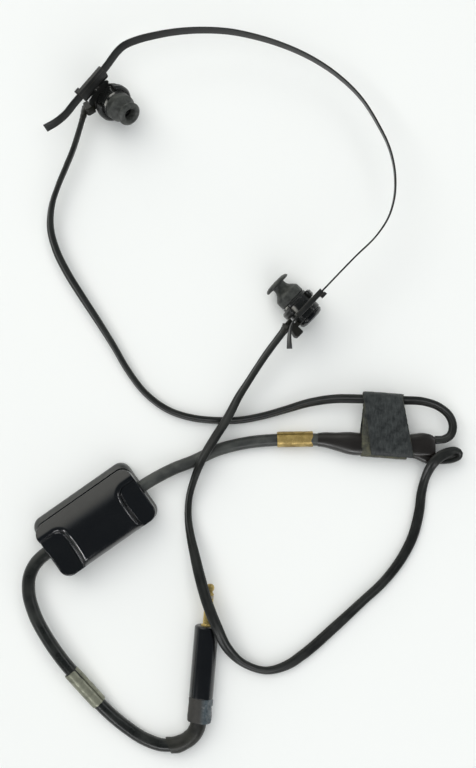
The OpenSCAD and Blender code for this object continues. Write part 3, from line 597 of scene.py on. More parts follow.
LEFT_SWING, RIGHT_SWING = 4, 19
receivers = {}
for side, centre, compass, roll, swing in (
        ("left", LEFT_CENTRE, LEFT_COMPASS, LEFT_ROLL, LEFT_SWING),
        ("right", RIGHT_CENTRE, RIGHT_COMPASS, RIGHT_ROLL, RIGHT_SWING)):
    where = slider_place(centre, compass, roll)
    receivers[side] = arm_place(where, swing)
    # the fold: a flat tube round the band, and a lip along the far edge where the sheet ends
    outer = soften([(-BAND_SIDE, -CLIP_TOP), (BAND_SIDE, -CLIP_TOP), (BAND_SIDE, CLIP_TOP),
                    (-BAND_SIDE, CLIP_TOP)], 0.9, 5)
    # the sheet is thin enough to leave the band room for its bend all along the travel
    inner = soften([(-3.6, -1.46), (3.99, -1.46), (3.99, 1.05), (-3.6, 1.05)], 0.2, 5)
    loops = ((-SLIDER_HALF, inner, 1.0), (-SLIDER_HALF, outer, 0.975), (0.25 - SLIDER_HALF, outer, 1.0),
             (SLIDER_HALF - 0.25, outer, 1.0), (SLIDER_HALF, outer, 0.975), (SLIDER_HALF, inner, 1.0))
    fold = wrap("fold", where, [[(x, y * s, z * s) for y, z in loop] for x, loop, s in loops],
                enamel, round_again=True)
    lip = stretch("lip", where, soften([(1.5, 1.55), (4.15, 1.55), (4.3, 1.2), (4.45, 1.6), (4.2, 2.2),
                                        (1.7, 2.25)], 0.3, 4),
                  [(-SLIDER_HALF - 0.1, 0.9), (0.2 - SLIDER_HALF, 1), (SLIDER_HALF - 0.2, 1),
                   (SLIDER_HALF + 0.1, 0.9)], enamel)
    stop = stretch("stop", where, soften([(-4.2, -3.9), (4.2, -3.9), (4.2, -1.5), (-4.2, -1.5)], 0.7, 4),
                   [(-SLIDER_HALF - 0.8, 0.9), (-SLIDER_HALF - 0.5, 1), (-SLIDER_HALF + 3.1, 1),
                    (-SLIDER_HALF + 3.4, 0.9)], enamel)
    tongue = plate("tongue", where, [soften(
        [(-SLIDER_HALF, -3.6), (-SLIDER_HALF, -TONGUE_SIDE), (-3, -TONGUE_SIDE),
         *arc((0, -RIVET_Y), 2.6, 203, 337, 8), (3, -TONGUE_SIDE), (SLIDER_HALF, -TONGUE_SIDE),
         (SLIDER_HALF, -3.6)], 1.6, 4), arc((0, -RIVET_Y), 1.2, 0, 345, 23)],
        -CLIP_TOP, SHEET - CLIP_TOP, 0.18, enamel)
    clip = unite(side + "_folded_slider_clip", [fold, lip, stop, tongue])
    # the edge of the lip is painted bare: partly rubbed wear, and partly a painted highlight along that
    # edge
    paint_bare_and_highlight(clip, where, lambda p: 0.8 * (abs(p.y - 1.6) < 0.25 and 1.5 < p.z < 2.3))
    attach(clip, side + "_slider")
    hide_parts(side + "_slider_clip")

    rivet = lathe(side + "_peened_rivet", where @ Matrix.Translation((0, -RIVET_Y, 0)), [
        (0, -2.4), (1.2, -2.38), (1.9, -1.72), (1.2, -1.7), (1.2, 0.15), (2, 0.15), (1.75, 0.6),
        (1.1, 0.92), (0, 0.95)], rivet_steel, 32, 0.25)
    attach(rivet, side + "_slider")
    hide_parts(side + "_pivot_rivet")

    # the left arm's flank is left wide on one side
    flank = ([(-7, 14.6), (-10, 14.1), (-12.2, 12.6), (-12.3, 8)] if side == "left"
             else [(-7, 14.5), (-9.2, 12.8), (-9.6, 11.4)])
    arm = plate(side + "_receiver_swing_arm", receivers[side], [
        soften([*arc((0, 0), CASE_RADIUS + 1.8, 128, 412, 56), (9.6, 11.4), (9.2, 12.8), (7, 14.5),
                (2.6, 15), *arc((0, ARM_LENGTH), 2.5, 0, 180, 10), (-2.6, 15), *flank], 0.9, 2),
        arc((0, 0), CASE_RADIUS + 0.06, 0, 354, 59),
        arc((0, ARM_LENGTH), 1.24, 0, 345, 23)], ARM_LOW, ARM_HIGH, 0.16, enamel)
    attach(arm, side + "_receiver")
    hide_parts(side + "_swing_arm")

# ---- receivers -----------------------------------------------------------------------------------
# Each receiver is a drawn brass cup with a moulded cover on its back and a turned cap on its front,
# held by a black spring ring that is open on the band's side. Cup and cap are black enamelled, with
# pale bare metal painted where the ring and fingers have rubbed them and, as painted highlights, along
# the cap's edge and on the cup beside the ring's end.
def moulded_phenolic(name, colour, gloss, edge_colour, worn_high=0.2):
    """Compression-moulded phenolic: deep black with a polished skin, browner where edges have worn,
    hairline scratches from handling."""
    material, surface = new_material(name, IOR=1.6)
    worn, spot = wear_mask(material, 0.0005, 0.03, worn_high, 0.0018)
    # only what faces up was buffed: flanks and undersides stay dull from the mould
    facing_up = add(material, "ShaderNodeSeparateXYZ", {
        "Vector": add(material, "ShaderNodeNewGeometry").outputs["Normal"]}).outputs["Z"]
    buffed = add(material, "ShaderNodeMapRange", {
        "Value": facing_up, "From Min": 0.1, "From Max": 0.3, "To Min": 0.15, "To Max": 0.5})
    join(material, buffed.outputs["Result"], surface, "Specular IOR Level")
    haze = add(material, "ShaderNodeTexNoise",
               {"Vector": spot, "Scale": 1 / 0.011, "Detail": 6.0, "Roughness": 0.6})
    tint = add(material, "ShaderNodeMix", {
        "Factor": worn, 6: linear(colour), 7: linear(edge_colour)}, data_type="RGBA")
    join(material, tint.outputs[2], surface, "Base Color")
    dull = add(material, "ShaderNodeMapRange", {
        "Value": haze.outputs["Fac"], "From Min": 0.36, "From Max": 0.7,
        "To Min": gloss - 0.03, "To Max": gloss + 0.12})
    join(material, dull.outputs["Result"], surface, "Roughness")
    scrape = add(material, "ShaderNodeTexVoronoi", {
        "Vector": spot, "Scale": 1 / 0.006, "Randomness": 1.0}, feature="DISTANCE_TO_EDGE")
    hair = add(material, "ShaderNodeMapRange", {
        "Value": scrape.outputs["Distance"], "From Min": 0.0, "From Max": 0.012})
    bump = add(material, "ShaderNodeBump", {
        "Height": hair.outputs["Result"], "Strength": 0.05, "Distance": 0.00005})
    join(material, bump.outputs["Normal"], surface, "Normal")
    return material


phenolic = moulded_phenolic("moulded_black_phenolic", "#0b0c0d", 0.13, "#211f1d")
cap_black = baked_enamel("enamelled_ring_steel", "#121211", "#4d4435", 0.26)
# its pale bare colour is painted on the cup and cap as wear and as painted highlights
case_black = baked_enamel("enamelled_case_brass", "#0e0f0f", "#cccac2", 0.26)

# the angle in degrees at which each ring ends
RING_END = {"left": 411.3, "right": 399}
# each case is painted bare metal beside the ring's end, partly as rubbed wear and partly as a painted
# highlight: middle and half width in degrees, from what height, and how far
RUB_AND_HIGHLIGHT = {"left": (32, 22, -3, 0.4), "right": (38, 17, 1.4, 0.85)}
# each cap is painted bare metal along arcs of its edge, partly as wear and partly as painted highlights
# on the rim: middle and half width in degrees
CAP_WEAR_AND_HIGHLIGHT_ARCS = {"left": [(72, 17), (116, 16)], "right": [(20, 12)]}


def smooth_step(value, low, high):
    """0 up to the low value, 1 from the high value, and a smooth rise between them."""
    u = min(1.0, max(0.0, (value - low) / (high - low)))
    return u * u * (3 - 2 * u)


def arc_share(point, at, half):
    """1 in the middle of an arc about Z, 0 outside it."""
    return smooth_step(1 - abs(math.degrees(math.atan2(point.y, point.x)) - at) / half, 0, 0.6)


for side, place in receivers.items():
    rub_highlight_at, rub_highlight_half, rub_highlight_low, rub_highlight_bare = RUB_AND_HIGHLIGHT[side]
    case = lathe(side + "_drawn_receiver_case", place, [
        (0, -6), (9.4, -6), (10.5, -5), (10.5, -1.2), (10.35, -0.9), (10.5, -0.6), (10.5, 6.6),
        (10.5, 7.4), (9.6, 7.4), (9.6, -5.1), (0, -5.1)], case_black, 80, 0.35)
    # pale bare metal beside the ring's end: wear, and a painted highlight on the cup
    paint_bare_and_highlight(case, place, lambda p: rub_highlight_bare * arc_share(p, rub_highlight_at, rub_highlight_half)
          * smooth_step(p.z, rub_highlight_low, rub_highlight_low + 1))
    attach(case, side + "_receiver")
    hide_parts(side + "_receiver_case")

    back = lathe(side + "_moulded_back_cover", place, [
        (0, -9.1), (3.6, -9.1), (4.2, -9.5), (6, -9.5), (8.6, -8.8), (9.9, -7.3), (9.9, -6.9),
        (9.6, -6.75), (9.9, -6.6), (9.9, -6.05), (0, -6.05)], phenolic, 80, 0.5)
    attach(back, side + "_receiver")
    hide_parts(side + "_case_back")

    # the spring ring: its section carried round most of a turn, and drawn in at both ends
    section = soften([(CASE_RADIUS + 0.06, 2.6), (12.4, 2.6), (13.6, 4), (13.6, 5.2), (13.35, 5.6),
                      (13.6, 6), (13.6, 7.2), (12.4, 8.6), (CASE_RADIUS + 0.06, 8.6)], 0.5, 4)
    middle = Vector((12.1, 5.6))
    stations = [(128.7, 0.8), (129.3, 0.94), (130.6, 1.0)]
    end = RING_END[side]
    stations += [(130.6 + (end - 132.5) * k / 66, 1.0) for k in range(1, 67)]
    stations += [(end - 0.6, 0.94), (end, 0.8)]
    rings = []
    for angle, size in stations:
        a = math.radians(angle)
        rings.append([((middle.x + (r - middle.x) * size) * math.cos(a),
                       (middle.x + (r - middle.x) * size) * math.sin(a),
                       middle.y + (z - middle.y) * size) for r, z in section])
    ring = wrap(side + "_spring_retaining_ring", place, rings, cap_black)
    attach(ring, side + "_receiver")
    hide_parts(side + "_retaining_ring")

    cap = lathe(side + "_turned_front_cap", place, [
        (1.6, 8.8), (1.6, 22), (3.4, 22), (4, 21.4), (4, 18.4), (3.8, 18.1), (4, 17.8), (4, 15.4),
        (7.6, 15.4), (8.3, 14.7), (8.3, 10.5), (10.1, 10.5), (10.5, 10.1), (10.5, 9.2),
        (10.3, 9), (10.5, 8.8), (10.5, 7.45), (8.6, 7.45), (8.6, 8.8)], case_black, 80, 0.2)
    # pale bare metal in arcs of the rim: wear, and painted highlights on the cap's edge
    paint_bare_and_highlight(cap, place, lambda p: 0.6 * (9 < p.z < 10.7 and math.hypot(p.x, p.y) > 9.9)
          * max(arc_share(p, *arc_at) for arc_at in CAP_WEAR_AND_HIGHLIGHT_ARCS[side]))
    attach(cap, side + "_receiver")
    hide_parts(side + "_front_cap")

# ---- ear inserts ---------------------------------------------------------------------------------
# A soft moulded rubber insert is pulled over each cap's boss: a cup, a short neck and a dished
# flange that holds it in the ear. The rubber is old: grey-green with bloom and a little out of round.
# Soft rubber from a mould: matt, its bloom in blotches of about 4.5 mm
soft_rubber, soft_surface = new_material("moulded_insert_rubber", Roughness=0.5, IOR=1.5)
spot = add(soft_rubber, "ShaderNodeTexCoord").outputs["Object"]
bloom = add(soft_rubber, "ShaderNodeTexNoise",
            {"Vector": spot, "Scale": 1 / 0.0045, "Detail": 7.0, "Roughness": 0.6, "Distortion": 0.6})
blotch = add(soft_rubber, "ShaderNodeMapRange",
             {"Value": bloom.outputs["Fac"], "From Min": 0.38, "From Max": 0.66})
tint = add(soft_rubber, "ShaderNodeMix", {
    "Factor": blotch.outputs["Result"], 6: linear("#20221f"), 7: linear("#434541")}, data_type="RGBA")
join(soft_rubber, tint.outputs[2], soft_surface, "Base Color")
# fine open grain of the mould, 0.35 mm
grain = add(soft_rubber, "ShaderNodeTexNoise", {"Vector": spot, "Scale": 1 / 0.00035, "Detail": 3.0})
dent = add(soft_rubber, "ShaderNodeTexNoise", {"Vector": spot, "Scale": 1 / 0.006, "Detail": 2.0})
height = add(soft_rubber, "ShaderNodeMath", {
    0: dent.outputs["Fac"], 1: grain.outputs["Fac"], 2: 3.0}, operation="MULTIPLY_ADD")
bump = add(soft_rubber, "ShaderNodeBump", {
    "Height": height.outputs["Value"], "Strength": 0.16, "Distance": 0.0003})
join(soft_rubber, bump.outputs["Normal"], soft_surface, "Normal")

# radius and height of each flange's rim
for side, rim_radius, rim in (("left", 8.8, 27.4), ("right", 10.25, 28.3)):
    def out_of_round(angle, point, side=side):
        """The rubber has taken a slight set: no more than a few tenths of a millimetre."""
        wave = noise.noise(Vector((math.cos(angle) * 0.9, math.sin(angle) * 0.9, point.z * 0.09
                                   + (3.1 if side == "left" else 7.7))))
        grow = 1 + (0.035 * wave - 0.012) * min(1, max(0, (point.z - 11) / 6))
        return Vector((point.x * grow, point.y * grow, point.z))

    insert = lathe(side + "_moulded_ear_insert", receivers[side], [
        (8.5, 10.6), (9.65, 10.6), (10.25, 11.4), (10.25, 13), (10.2, 17), (8.3, 19), (6.3, 21),
        (5.3, 22.8), (5.1, rim - 2.8), (6.4, rim - 2), (rim_radius - 0.9, rim - 2.5),
        (rim_radius, rim - 1.9), (rim_radius - 0.2, rim - 0.8), (rim_radius - 1.3, rim), (6.8, rim + 0.7),
        (5.5, rim + 0.8), (4.5, rim + 0.2), (3.7, rim - 1.2), (3.1, rim - 2.8), (2.6, 22.8), (4.15, 22.8),
        (4.15, 15.8), (8.5, 15.8)], soft_rubber, 96, 0.9, out_of_round)
    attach(insert, side + "_insert")
    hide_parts(side + "_ear_insert")

# ---- cord connectors and strain reliefs ----------------------------------------------------------
# Two pins on the case take a small moulded plug of dark olive rubber; the flat lead leaves it through
# a tapered sleeve that is moulded on, with three shallow grooves round it.
olive = aged_rubber("moulded_connector_rubber", "#0b0b07", "#1d1c14", 0.38, 0.2)
# which way each plug points from its case, its tilt in degrees, and the heights of its ends
CONNECTORS = {"left": (-1, 26, -9.4, 1.0), "right": (1, 0, 3.2, -10.8)}
for side, (hand, tilt, near, far) in CONNECTORS.items():
    turn = Matrix.Rotation(math.radians(tilt if hand > 0 else 180 - tilt), 4, "Z")
    where = receivers[side] @ turn @ Matrix.Rotation(math.pi / 2, 4, "X")
    block = plate("block", where, [soften([
        (13.1, near), (17.2, near), (18, near * 0.7 + far * 0.3),
        (20, near * 0.16 + far * 0.84), (18.8, far), (13.1, far)], 1.1, 5)], -3, 3, 0.9, olive)
    neck = plate("neck", where, [soften([(10.52, -5.4), (13.4, -5.4), (13.4, -1.8), (10.52, -1.8)], 0.4)],
                 -2.6, 2.6, 0.4, olive)
    connector = unite(side + "_moulded_cord_connector", [block, neck])
    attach(connector, side + "_receiver")
    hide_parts(side + "_cord_connector")

# each sleeve goes from its plug to the end of its lead
RELIEF_ROUTES = {
    "left": [(-0.098, 0.0626, 0.0132, 60), (-0.099, 0.0598, 0.0135, 68),
             (-0.1001, 0.05557, 0.01366, 76), (-0.100958, 0.052644, 0.013603, 82)],
    "right": [(0.0474, -0.0962, 0.0194, 44), (0.0464, -0.0978, 0.0195, 52),
              (0.04519, -0.09942, 0.01893, 60), (0.04409, -0.10088, 0.01862, 66)]}
relief_outline = twin_outline(LEAD_WIDTH + 0.0004, LEAD_THICK + 0.0004, 0.12, 36)
for side, route in RELIEF_ROUTES.items():
    line = follow(route, 0.0003)
    last = len(line) - 1

    def taper(i, a, last=last):
        """The sleeve narrows toward the lead, with its three grooves on the way."""
        u = i / last
        return 1.04 - 0.12 * u + 0.035 * math.cos(u * 6 * math.pi)

    relief = skin(side + "_lead_strain_relief", line, relief_outline, olive, taper)
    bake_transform(relief)
    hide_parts(side + "_strain_relief")

# ---- junction ------------------------------------------------------------------------------------
# A hard black-brown rubber block moulded over the splice: it tapers to the round cord, and at its
# square end one branch takes each flat lead. Handling has polished its top and browned its edges.
def oval(centre, half_y, half_z, square, count=40):
    """A ring across X about a centre: an ellipse at square 2, a box as square grows."""
    a = np.linspace(0, 2 * math.pi, count, endpoint=False)
    c, s = np.cos(a), np.sin(a)
    y = np.sign(c) * np.abs(c) ** (2 / square) * half_y
    z = np.sign(s) * np.abs(s) ** (2 / square) * half_z
    return np.stack([np.full(count, centre[0]), centre[1] + y, centre[2] + z], axis=1)


def between(stations, step):
    """Stations of numbers, the first of them X, joined smoothly and taken again at even steps of X."""
    table = np.array(stations, float)
    x = table[:, 0]
    return smooth(table, x, np.linspace(x[0], x[-1], round(abs(x[-1] - x[0]) / step) + 1))


hard_rubber = moulded_phenolic("moulded_hard_rubber", "#17130f", 0.36, "#4a3625", 0.1)
# x, centre y, centre z, half width, half height, squareness
BLOCK_STATIONS = [
    (0.0700, -0.1785, 0.0078, 0.0049, 0.0049, 2.0), (0.0730, -0.1785, 0.0078, 0.0053, 0.0050, 2.1),
    (0.0830, -0.1798, 0.0084, 0.0066, 0.0054, 2.2), (0.0930, -0.1811, 0.0090, 0.0082, 0.0058, 2.4),
    (0.1040, -0.1820, 0.0090, 0.0081, 0.0058, 2.6), (0.1200, -0.1824, 0.0092, 0.0078, 0.0056, 2.9),
    (0.1370, -0.1826, 0.0094, 0.0081, 0.0055, 3.4), (0.1480, -0.1821, 0.0097, 0.0084, 0.0053, 4.2),
    (0.1520, -0.1825, 0.0096, 0.0078, 0.0050, 4.4), (0.1544, -0.1829, 0.0095, 0.0068, 0.0045, 4.4)]
BRANCH_STATIONS = [
    (0.1120, -0.1852, 0.0078, 0.0042, 0.0042, 2.2), (0.1280, -0.1865, 0.0074, 0.0045, 0.0043, 2.3),
    (0.1400, -0.1876, 0.0070, 0.0046, 0.0043, 2.4), (0.1480, -0.1910, 0.0067, 0.0046, 0.0042, 2.5),
    (0.1530, -0.1931, 0.0065, 0.0044, 0.0042, 2.6)]
halves = []
for stations in (BLOCK_STATIONS, BRANCH_STATIONS):
    rows = [oval(row[:3], row[3], row[4], row[5]) for row in between(stations, 0.0011)]
    # the last ring is repeated smaller, so that the square end has a rounded edge
    end = rows[-1]
    middle = end.mean(axis=0)
    rows += [middle + (end - middle) * 0.97 + np.array([0.0004, 0, 0]),
             middle + (end - middle) * 0.89 + np.array([0.0007, 0, 0])]
    halves.append(loft("half", rows, hard_rubber))
junction = unite("moulded_junction_block", halves)
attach(junction, "headset")
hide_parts("junction_block")

# ---- keeper strap --------------------------------------------------------------------------------
# A wide strap of black-dyed leather ties the slack of the left lead to the junction. It starts under
# itself, goes below the block, over the lead, and down on top at a slant; its edges have frayed olive.
STRAP_CENTRE, STRAP_COMPASS = Vector((0.1212, -0.1674, 0)), -4.3
strap_place = (Matrix.Translation(STRAP_CENTRE) @ Matrix.Rotation(math.radians(STRAP_COMPASS), 4, "Z")
               @ Matrix.Scale(MM, 4))
# across the block, height, left edge, right edge, age of the surface
STRAP_COURSE = [
    (14.0, 17.9, -19.6, 8.0, 0.5), (4.0, 16.9, -19.3, 9.0, 0.6), (-8.0, 15.7, -19.2, 11.0, 0.8),
    (-17.0, 14.7, -18.6, 13.0, 1.0), (-21.6, 13.7, -18.2, 14.6, 1.0), (-23.9, 11.8, -18.2, 15.0, 1.0),
    (-24.5, 8.4, -18.2, 15.0, 1.0), (-24.1, 4.4, -18.2, 15.0, 0.9), (-22.0, 1.7, -18.2, 14.4, 0.7),
    (-14.0, 1.2, -19.6, 12.2, 0.4), (-4.0, 1.4, -19.2, 11.4, 0.3), (9.0, 6.0, -19.0, 10.2, 0.3),
    (19.0, 7.6, -19.2, 9.6, 0.2), (22.0, 9.4, -19.4, 9.5, 0.2), (22.7, 13.6, -19.6, 9.4, 0.2),
    (21.6, 17.6, -21.3, 7.9, 0.15), (18.6, 19.6, -20.6, 8.5, 0.0), (12.0, 19.4, -19.0, 10.3, 0.0),
    (2.0, 18.5, -16.8, 13.0, 0.0), (-8.0, 17.5, -14.6, 15.8, 0.0), (-18.0, 16.4, -12.4, 18.6, 0.0),
    (-21.2, 15.5, -11.7, 19.5, 0.0), (-22.6, 14.4, -11.4, 19.8, 0.1)]
LEATHER, ACROSS, ALONG = 0.8, 26, 150
course = np.array(STRAP_COURSE)
run = distances(course[:, :2])
steps = np.linspace(0, run[-1], ALONG)
course = np.stack([np.interp(steps, run, course[:, k]) for k in range(5)], axis=1)
# evened out, so that the leather bends softly at the corners of its course
kernel = np.array([1, 2, 3, 2, 1]) / 9
padded = np.pad(course, ((2, 2), (0, 0)), mode="edge")
course[2:-2] = np.stack([np.convolve(padded[:, k], kernel, "valid") for k in range(5)], axis=1)[2:-2]
forward = np.gradient(course[:, :2], axis=0)
forward /= np.linalg.norm(forward, axis=1)[:, None]
rings, ages = [], []
for i, (y, z, left, right, age) in enumerate(course):
    # through the leather, toward the inside of the loop
    inward = np.array([-forward[i, 1], forward[i, 0]])
    fray = [0.35 * noise.noise(Vector((steps[i] * 0.45, 3.0 + 9 * k, 0))) for k in (0, 1)]
    left, right = left + fray[0], right + fray[1]
    ring = []
    for face in (1, -1):
        for k in range(ACROSS):
            u = k / (ACROSS - 1) if face > 0 else 1 - k / (ACROSS - 1)
            x = left + (right - left) * u
            edge = min(u, 1 - u) * (right - left)
            # thinner along its cut edges, and lumpy all over
            thin = 1 - 0.55 * math.exp(-(edge / 0.35) ** 2)
            lump = 0.16 * noise.noise(Vector((x * 0.22, steps[i] * 0.16, 1.5)))
            lump += 0.07 * noise.noise(Vector((x * 0.9, steps[i] * 0.5, 8.5)))
            away = face * LEATHER / 2 * thin + lump
            ring.append((x, y + inward[0] * away, z + inward[1] * away))
            ages.append(max(age, 0.9 * math.exp(-(edge / 0.7) ** 2)))
    rings.append(ring)

# Cowhide dyed black: its dye has gone grey in scored patches, and olive where age has bared the hide
strap_leather, strap_surface = new_material("dyed_strap_leather", IOR=1.45)
spot = add(strap_leather, "ShaderNodeTexCoord").outputs["Object"]
age_of = add(strap_leather, "ShaderNodeAttribute", attribute_name="age")
cloud = add(strap_leather, "ShaderNodeTexNoise",
            {"Vector": spot, "Scale": 1 / 0.006, "Detail": 8.0, "Roughness": 0.68})
scored_space = add(strap_leather, "ShaderNodeMapping", {"Vector": spot, "Scale": (1.8, 0.45, 1)})
scored = add(strap_leather, "ShaderNodeTexNoise", {
    "Vector": scored_space.outputs["Vector"], "Scale": 1 / 0.0022, "Detail": 6.0, "Roughness": 0.7})
blend = add(strap_leather, "ShaderNodeMath", {
    0: cloud.outputs["Fac"], 1: scored.outputs["Fac"]}, operation="MULTIPLY")
worn_patch = add(strap_leather, "ShaderNodeMapRange", {
    "Value": blend.outputs["Value"], "From Min": 0.16, "From Max": 0.38})
dye = add(strap_leather, "ShaderNodeMix", {
    "Factor": worn_patch.outputs["Result"], 6: linear("#171a1a"), 7: linear("#383c3b")}, data_type="RGBA")
rubbed = add(strap_leather, "ShaderNodeMath", {
    0: cloud.outputs["Fac"], 1: age_of.outputs["Fac"]}, operation="MULTIPLY")
bare = add(strap_leather, "ShaderNodeMapRange", {
    "Value": rubbed.outputs["Value"], "From Min": 0.3, "From Max": 0.62})
hide = add(strap_leather, "ShaderNodeMix", {
    "Factor": bare.outputs["Result"], 6: dye.outputs[2], 7: linear("#56543f")}, data_type="RGBA")
join(strap_leather, hide.outputs[2], strap_surface, "Base Color")
matt = add(strap_leather, "ShaderNodeMapRange", {
    "Value": cloud.outputs["Fac"], "From Min": 0.3, "From Max": 0.7, "To Min": 0.42, "To Max": 0.68})
join(strap_leather, matt.outputs["Result"], strap_surface, "Roughness")
# the hide's pebble grain, 0.7 mm, and long shallow creases across the strap
pebble = add(strap_leather, "ShaderNodeTexVoronoi", {"Vector": spot, "Scale": 1 / 0.0007})
crease_space = add(strap_leather, "ShaderNodeMapping", {"Vector": spot, "Scale": (0.35, 2.2, 1)})
crease = add(strap_leather, "ShaderNodeTexNoise", {
    "Vector": crease_space.outputs["Vector"], "Scale": 1 / 0.004, "Detail": 4.0})
relief_height = add(strap_leather, "ShaderNodeMath", {
    0: crease.outputs["Fac"], 1: 2.5, 2: pebble.outputs["Distance"]}, operation="MULTIPLY_ADD")
bump = add(strap_leather, "ShaderNodeBump", {
    "Height": relief_height.outputs["Value"], "Strength": 0.22, "Distance": 0.0003})
join(strap_leather, bump.outputs["Normal"], strap_surface, "Normal")

strap = loft("leather_keeper_strap", rings, strap_leather)
strap.data.transform(strap_place)
note(strap, "age", ages)
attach(strap, "headset")
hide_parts("keeper_strap")

# ---- cord tags -----------------------------------------------------------------------------------
# Two thin sheet-metal bands are rolled round the cord and crimped: a brass one by the junction and a
# nickel-plated one below the box. Both are blank, dented, and dull with age.
TAG_WALL, TAG_LIFT, TAG_SEAM = 0.4, 0.4, 0.72


def rolled_tag(name, where, bore, length, material):
    """A sheet rolled to a tube whose ends overlap in a seam along it, with small dents."""
    count, rows = 64, []
    for x in np.linspace(-length / 2, length / 2, 40):
        edge = min(1.0, (length / 2 - abs(x)) / 0.35)
        ring = []
        for out in (1, 0):
            for i in range(count):
                a = 2 * math.pi * (i if out else count - 1 - i) / (count - 1)
                spiral = TAG_LIFT * (a / (2 * math.pi))
                dent = 0.13 * noise.noise(
                    Vector((x * 0.22, math.cos(a) * 0.9, math.sin(a) * 0.9 + TAG_LIFT)))
                # the sheet's outer end is pressed down into the seam
                spiral -= 0.3 * math.exp(-(a / 0.1) ** 2) * out
                r = bore / 2 + spiral + dent + (TAG_WALL * (0.6 + 0.4 * math.sqrt(edge)) if out else 0)
                ring.append((x, r * math.cos(a + TAG_SEAM), r * math.sin(a + TAG_SEAM)))
        rows.append(ring)
    tag = loft(name, rows, material)
    tag.data.transform(where)
    tag.data.set_sharp_from_angle(angle=math.radians(40))
    return tag


def aged_metal(name, colour, tarnish, gloss, patch_mm, metal=1.0):
    """Metal rolled, turned or ground smooth and then handled for years: uneven tarnish, soft
    highlights."""
    material, surface = new_material(name, Metallic=metal)
    spot = add(material, "ShaderNodeTexCoord").outputs["Object"]
    cloud = add(material, "ShaderNodeTexNoise", {
        "Vector": spot, "Scale": 1000 / patch_mm, "Detail": 8.0, "Roughness": 0.68, "Distortion": 0.3})
    patch = add(material, "ShaderNodeMapRange", {
        "Value": cloud.outputs["Fac"], "From Min": 0.36, "From Max": 0.64})
    tint = add(material, "ShaderNodeMix", {
        "Factor": patch.outputs["Result"], 6: linear(colour), 7: linear(tarnish)}, data_type="RGBA")
    join(material, tint.outputs[2], surface, "Base Color")
    dull = add(material, "ShaderNodeMapRange", {
        "Value": cloud.outputs["Fac"], "From Min": 0.3, "From Max": 0.7,
        "To Min": gloss - 0.08, "To Max": gloss + 0.16})
    join(material, dull.outputs["Result"], surface, "Roughness")
    scratch_space = add(material, "ShaderNodeMapping", {"Vector": spot, "Scale": (6, 1, 1)})
    scratch = add(material, "ShaderNodeTexNoise", {
        "Vector": scratch_space.outputs["Vector"], "Scale": 1 / 0.0012, "Detail": 4.0})
    bump = add(material, "ShaderNodeBump", {
        "Height": scratch.outputs["Fac"], "Strength": 0.12, "Distance": 0.0001})
    join(material, bump.outputs["Normal"], surface, "Normal")
    return material


sheet_brass = aged_metal("rolled_tag_brass", "#b79e60", "#86713f", 0.42, 5, 0.5)
tag_nickel = aged_metal("rolled_tag_nickel", "#90917f", "#6d6e60", 0.36, 6, 0.5)
brass_place = (Matrix.Translation((0.0536, -0.1784, 0.00635)) @ Matrix.Rotation(math.radians(1), 4, "Z")
               @ Matrix.Scale(MM, 4))
nickel_place = (Matrix.Translation((-0.099, -0.358, 0.0114)) @ Matrix.Rotation(math.radians(-49), 4, "Z")
                @ Matrix.Rotation(math.radians(7), 4, "Y") @ Matrix.Scale(MM, 4))
for name, where, bore, length, material, node, finish in (
        ("brass_cord_tag", brass_place, 10.1, 26, sheet_brass, "brass_tag", "brass"),
        ("nickel_cord_tag", nickel_place, 10.5, 31, tag_nickel, "nickel_tag", "nickel_plate")):
    tag = rolled_tag(name, where, bore, length, material)
    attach(tag, "headset")
    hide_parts(node)

# ---- transformer box -----------------------------------------------------------------------------
# The in-line matching transformer sits in a two-part box of polished black phenolic: a tray below and
# a crowned cover above, with a lowered land at each end where the halves are screwed from below.
box_place = (Matrix.Translation((-0.0919, -0.2362, 0)) @ Matrix.Rotation(math.radians(35), 4, "Z")
             @ Matrix.Scale(MM, 4))
BOX_LENGTH, BOX_WIDTH, BOX_HEIGHT, BOX_CORNER, SEAM = 83, 48.6, 25, 8, 12.4
COVER_LOW, COVER_HIGH, COVER_HALF, COVER_WALL = -24.1, 19.5, 41.1, 2.2
COVER_MIDDLE, COVER_REACH = (COVER_LOW + COVER_HIGH) / 2, (COVER_HIGH - COVER_LOW) / 2
CROWN_FROM, CROWN_BEND = -3, 0.0138
LAND_TOP, LAND_CORNER, LAND_BEND = 19.8, 10, 0.006
GROMMET_HOLE, SEAM_GAP, SEAM_TUCK = 11.6, 0.12, 0.25


def rounded_loop(half_l, half_w, corner, count=9):
    """Points of a rounded rectangle, the same number whatever its size."""
    loop = []
    for sx, sy, start in ((1, 1, 0), (-1, 1, 90), (-1, -1, 180), (1, -1, 270)):
        for k in range(count):
            a = math.radians(start + 90 * k / (count - 1))
            loop.append((sx * (half_l - corner) + corner * math.cos(a),
                         sy * (half_w - corner) + corner * math.sin(a)))
    return loop


def cut(piece, cutters):
    """Takes the cutters' solids out of the piece's mesh."""
    for cutter in cutters:
        knife = piece.modifiers.new("cut", "BOOLEAN")
        knife.operation, knife.solver, knife.object = "DIFFERENCE", "EXACT", cutter
    whole = bpy.context.evaluated_depsgraph_get()
    mesh = bpy.data.meshes.new_from_object(piece.evaluated_get(whole))
    piece.modifiers.clear()
    piece.data = mesh
    mesh.set_sharp_from_angle(angle=CRISP)
    for cutter in cutters:
        bpy.data.objects.remove(cutter)


def rod(where, radius, low, high, count=64):
    """A plain solid for cutting round holes, along Z."""
    made = bmesh.new()
    bmesh.ops.create_cone(made, cap_ends=True, segments=count, radius1=radius, radius2=radius,
                          depth=high - low, matrix=Matrix.Translation((0, 0, (low + high) / 2)))
    mesh = bpy.data.meshes.new("rod")
    made.to_mesh(mesh)
    made.free()
    return settle("rod", mesh, where, phenolic)


# each land: where its wall begins and ends along X, and how far it reaches across
LANDS = {-1: (17.2, 23.6, 13.6), 1: (20.6, 27.2, 12.4)}
# the walls are a little bowed along their length: by how much, about where, and how far from there
WALL_BOW, BOW_MIDDLE, BOW_HALF = 0.8, -7, 12


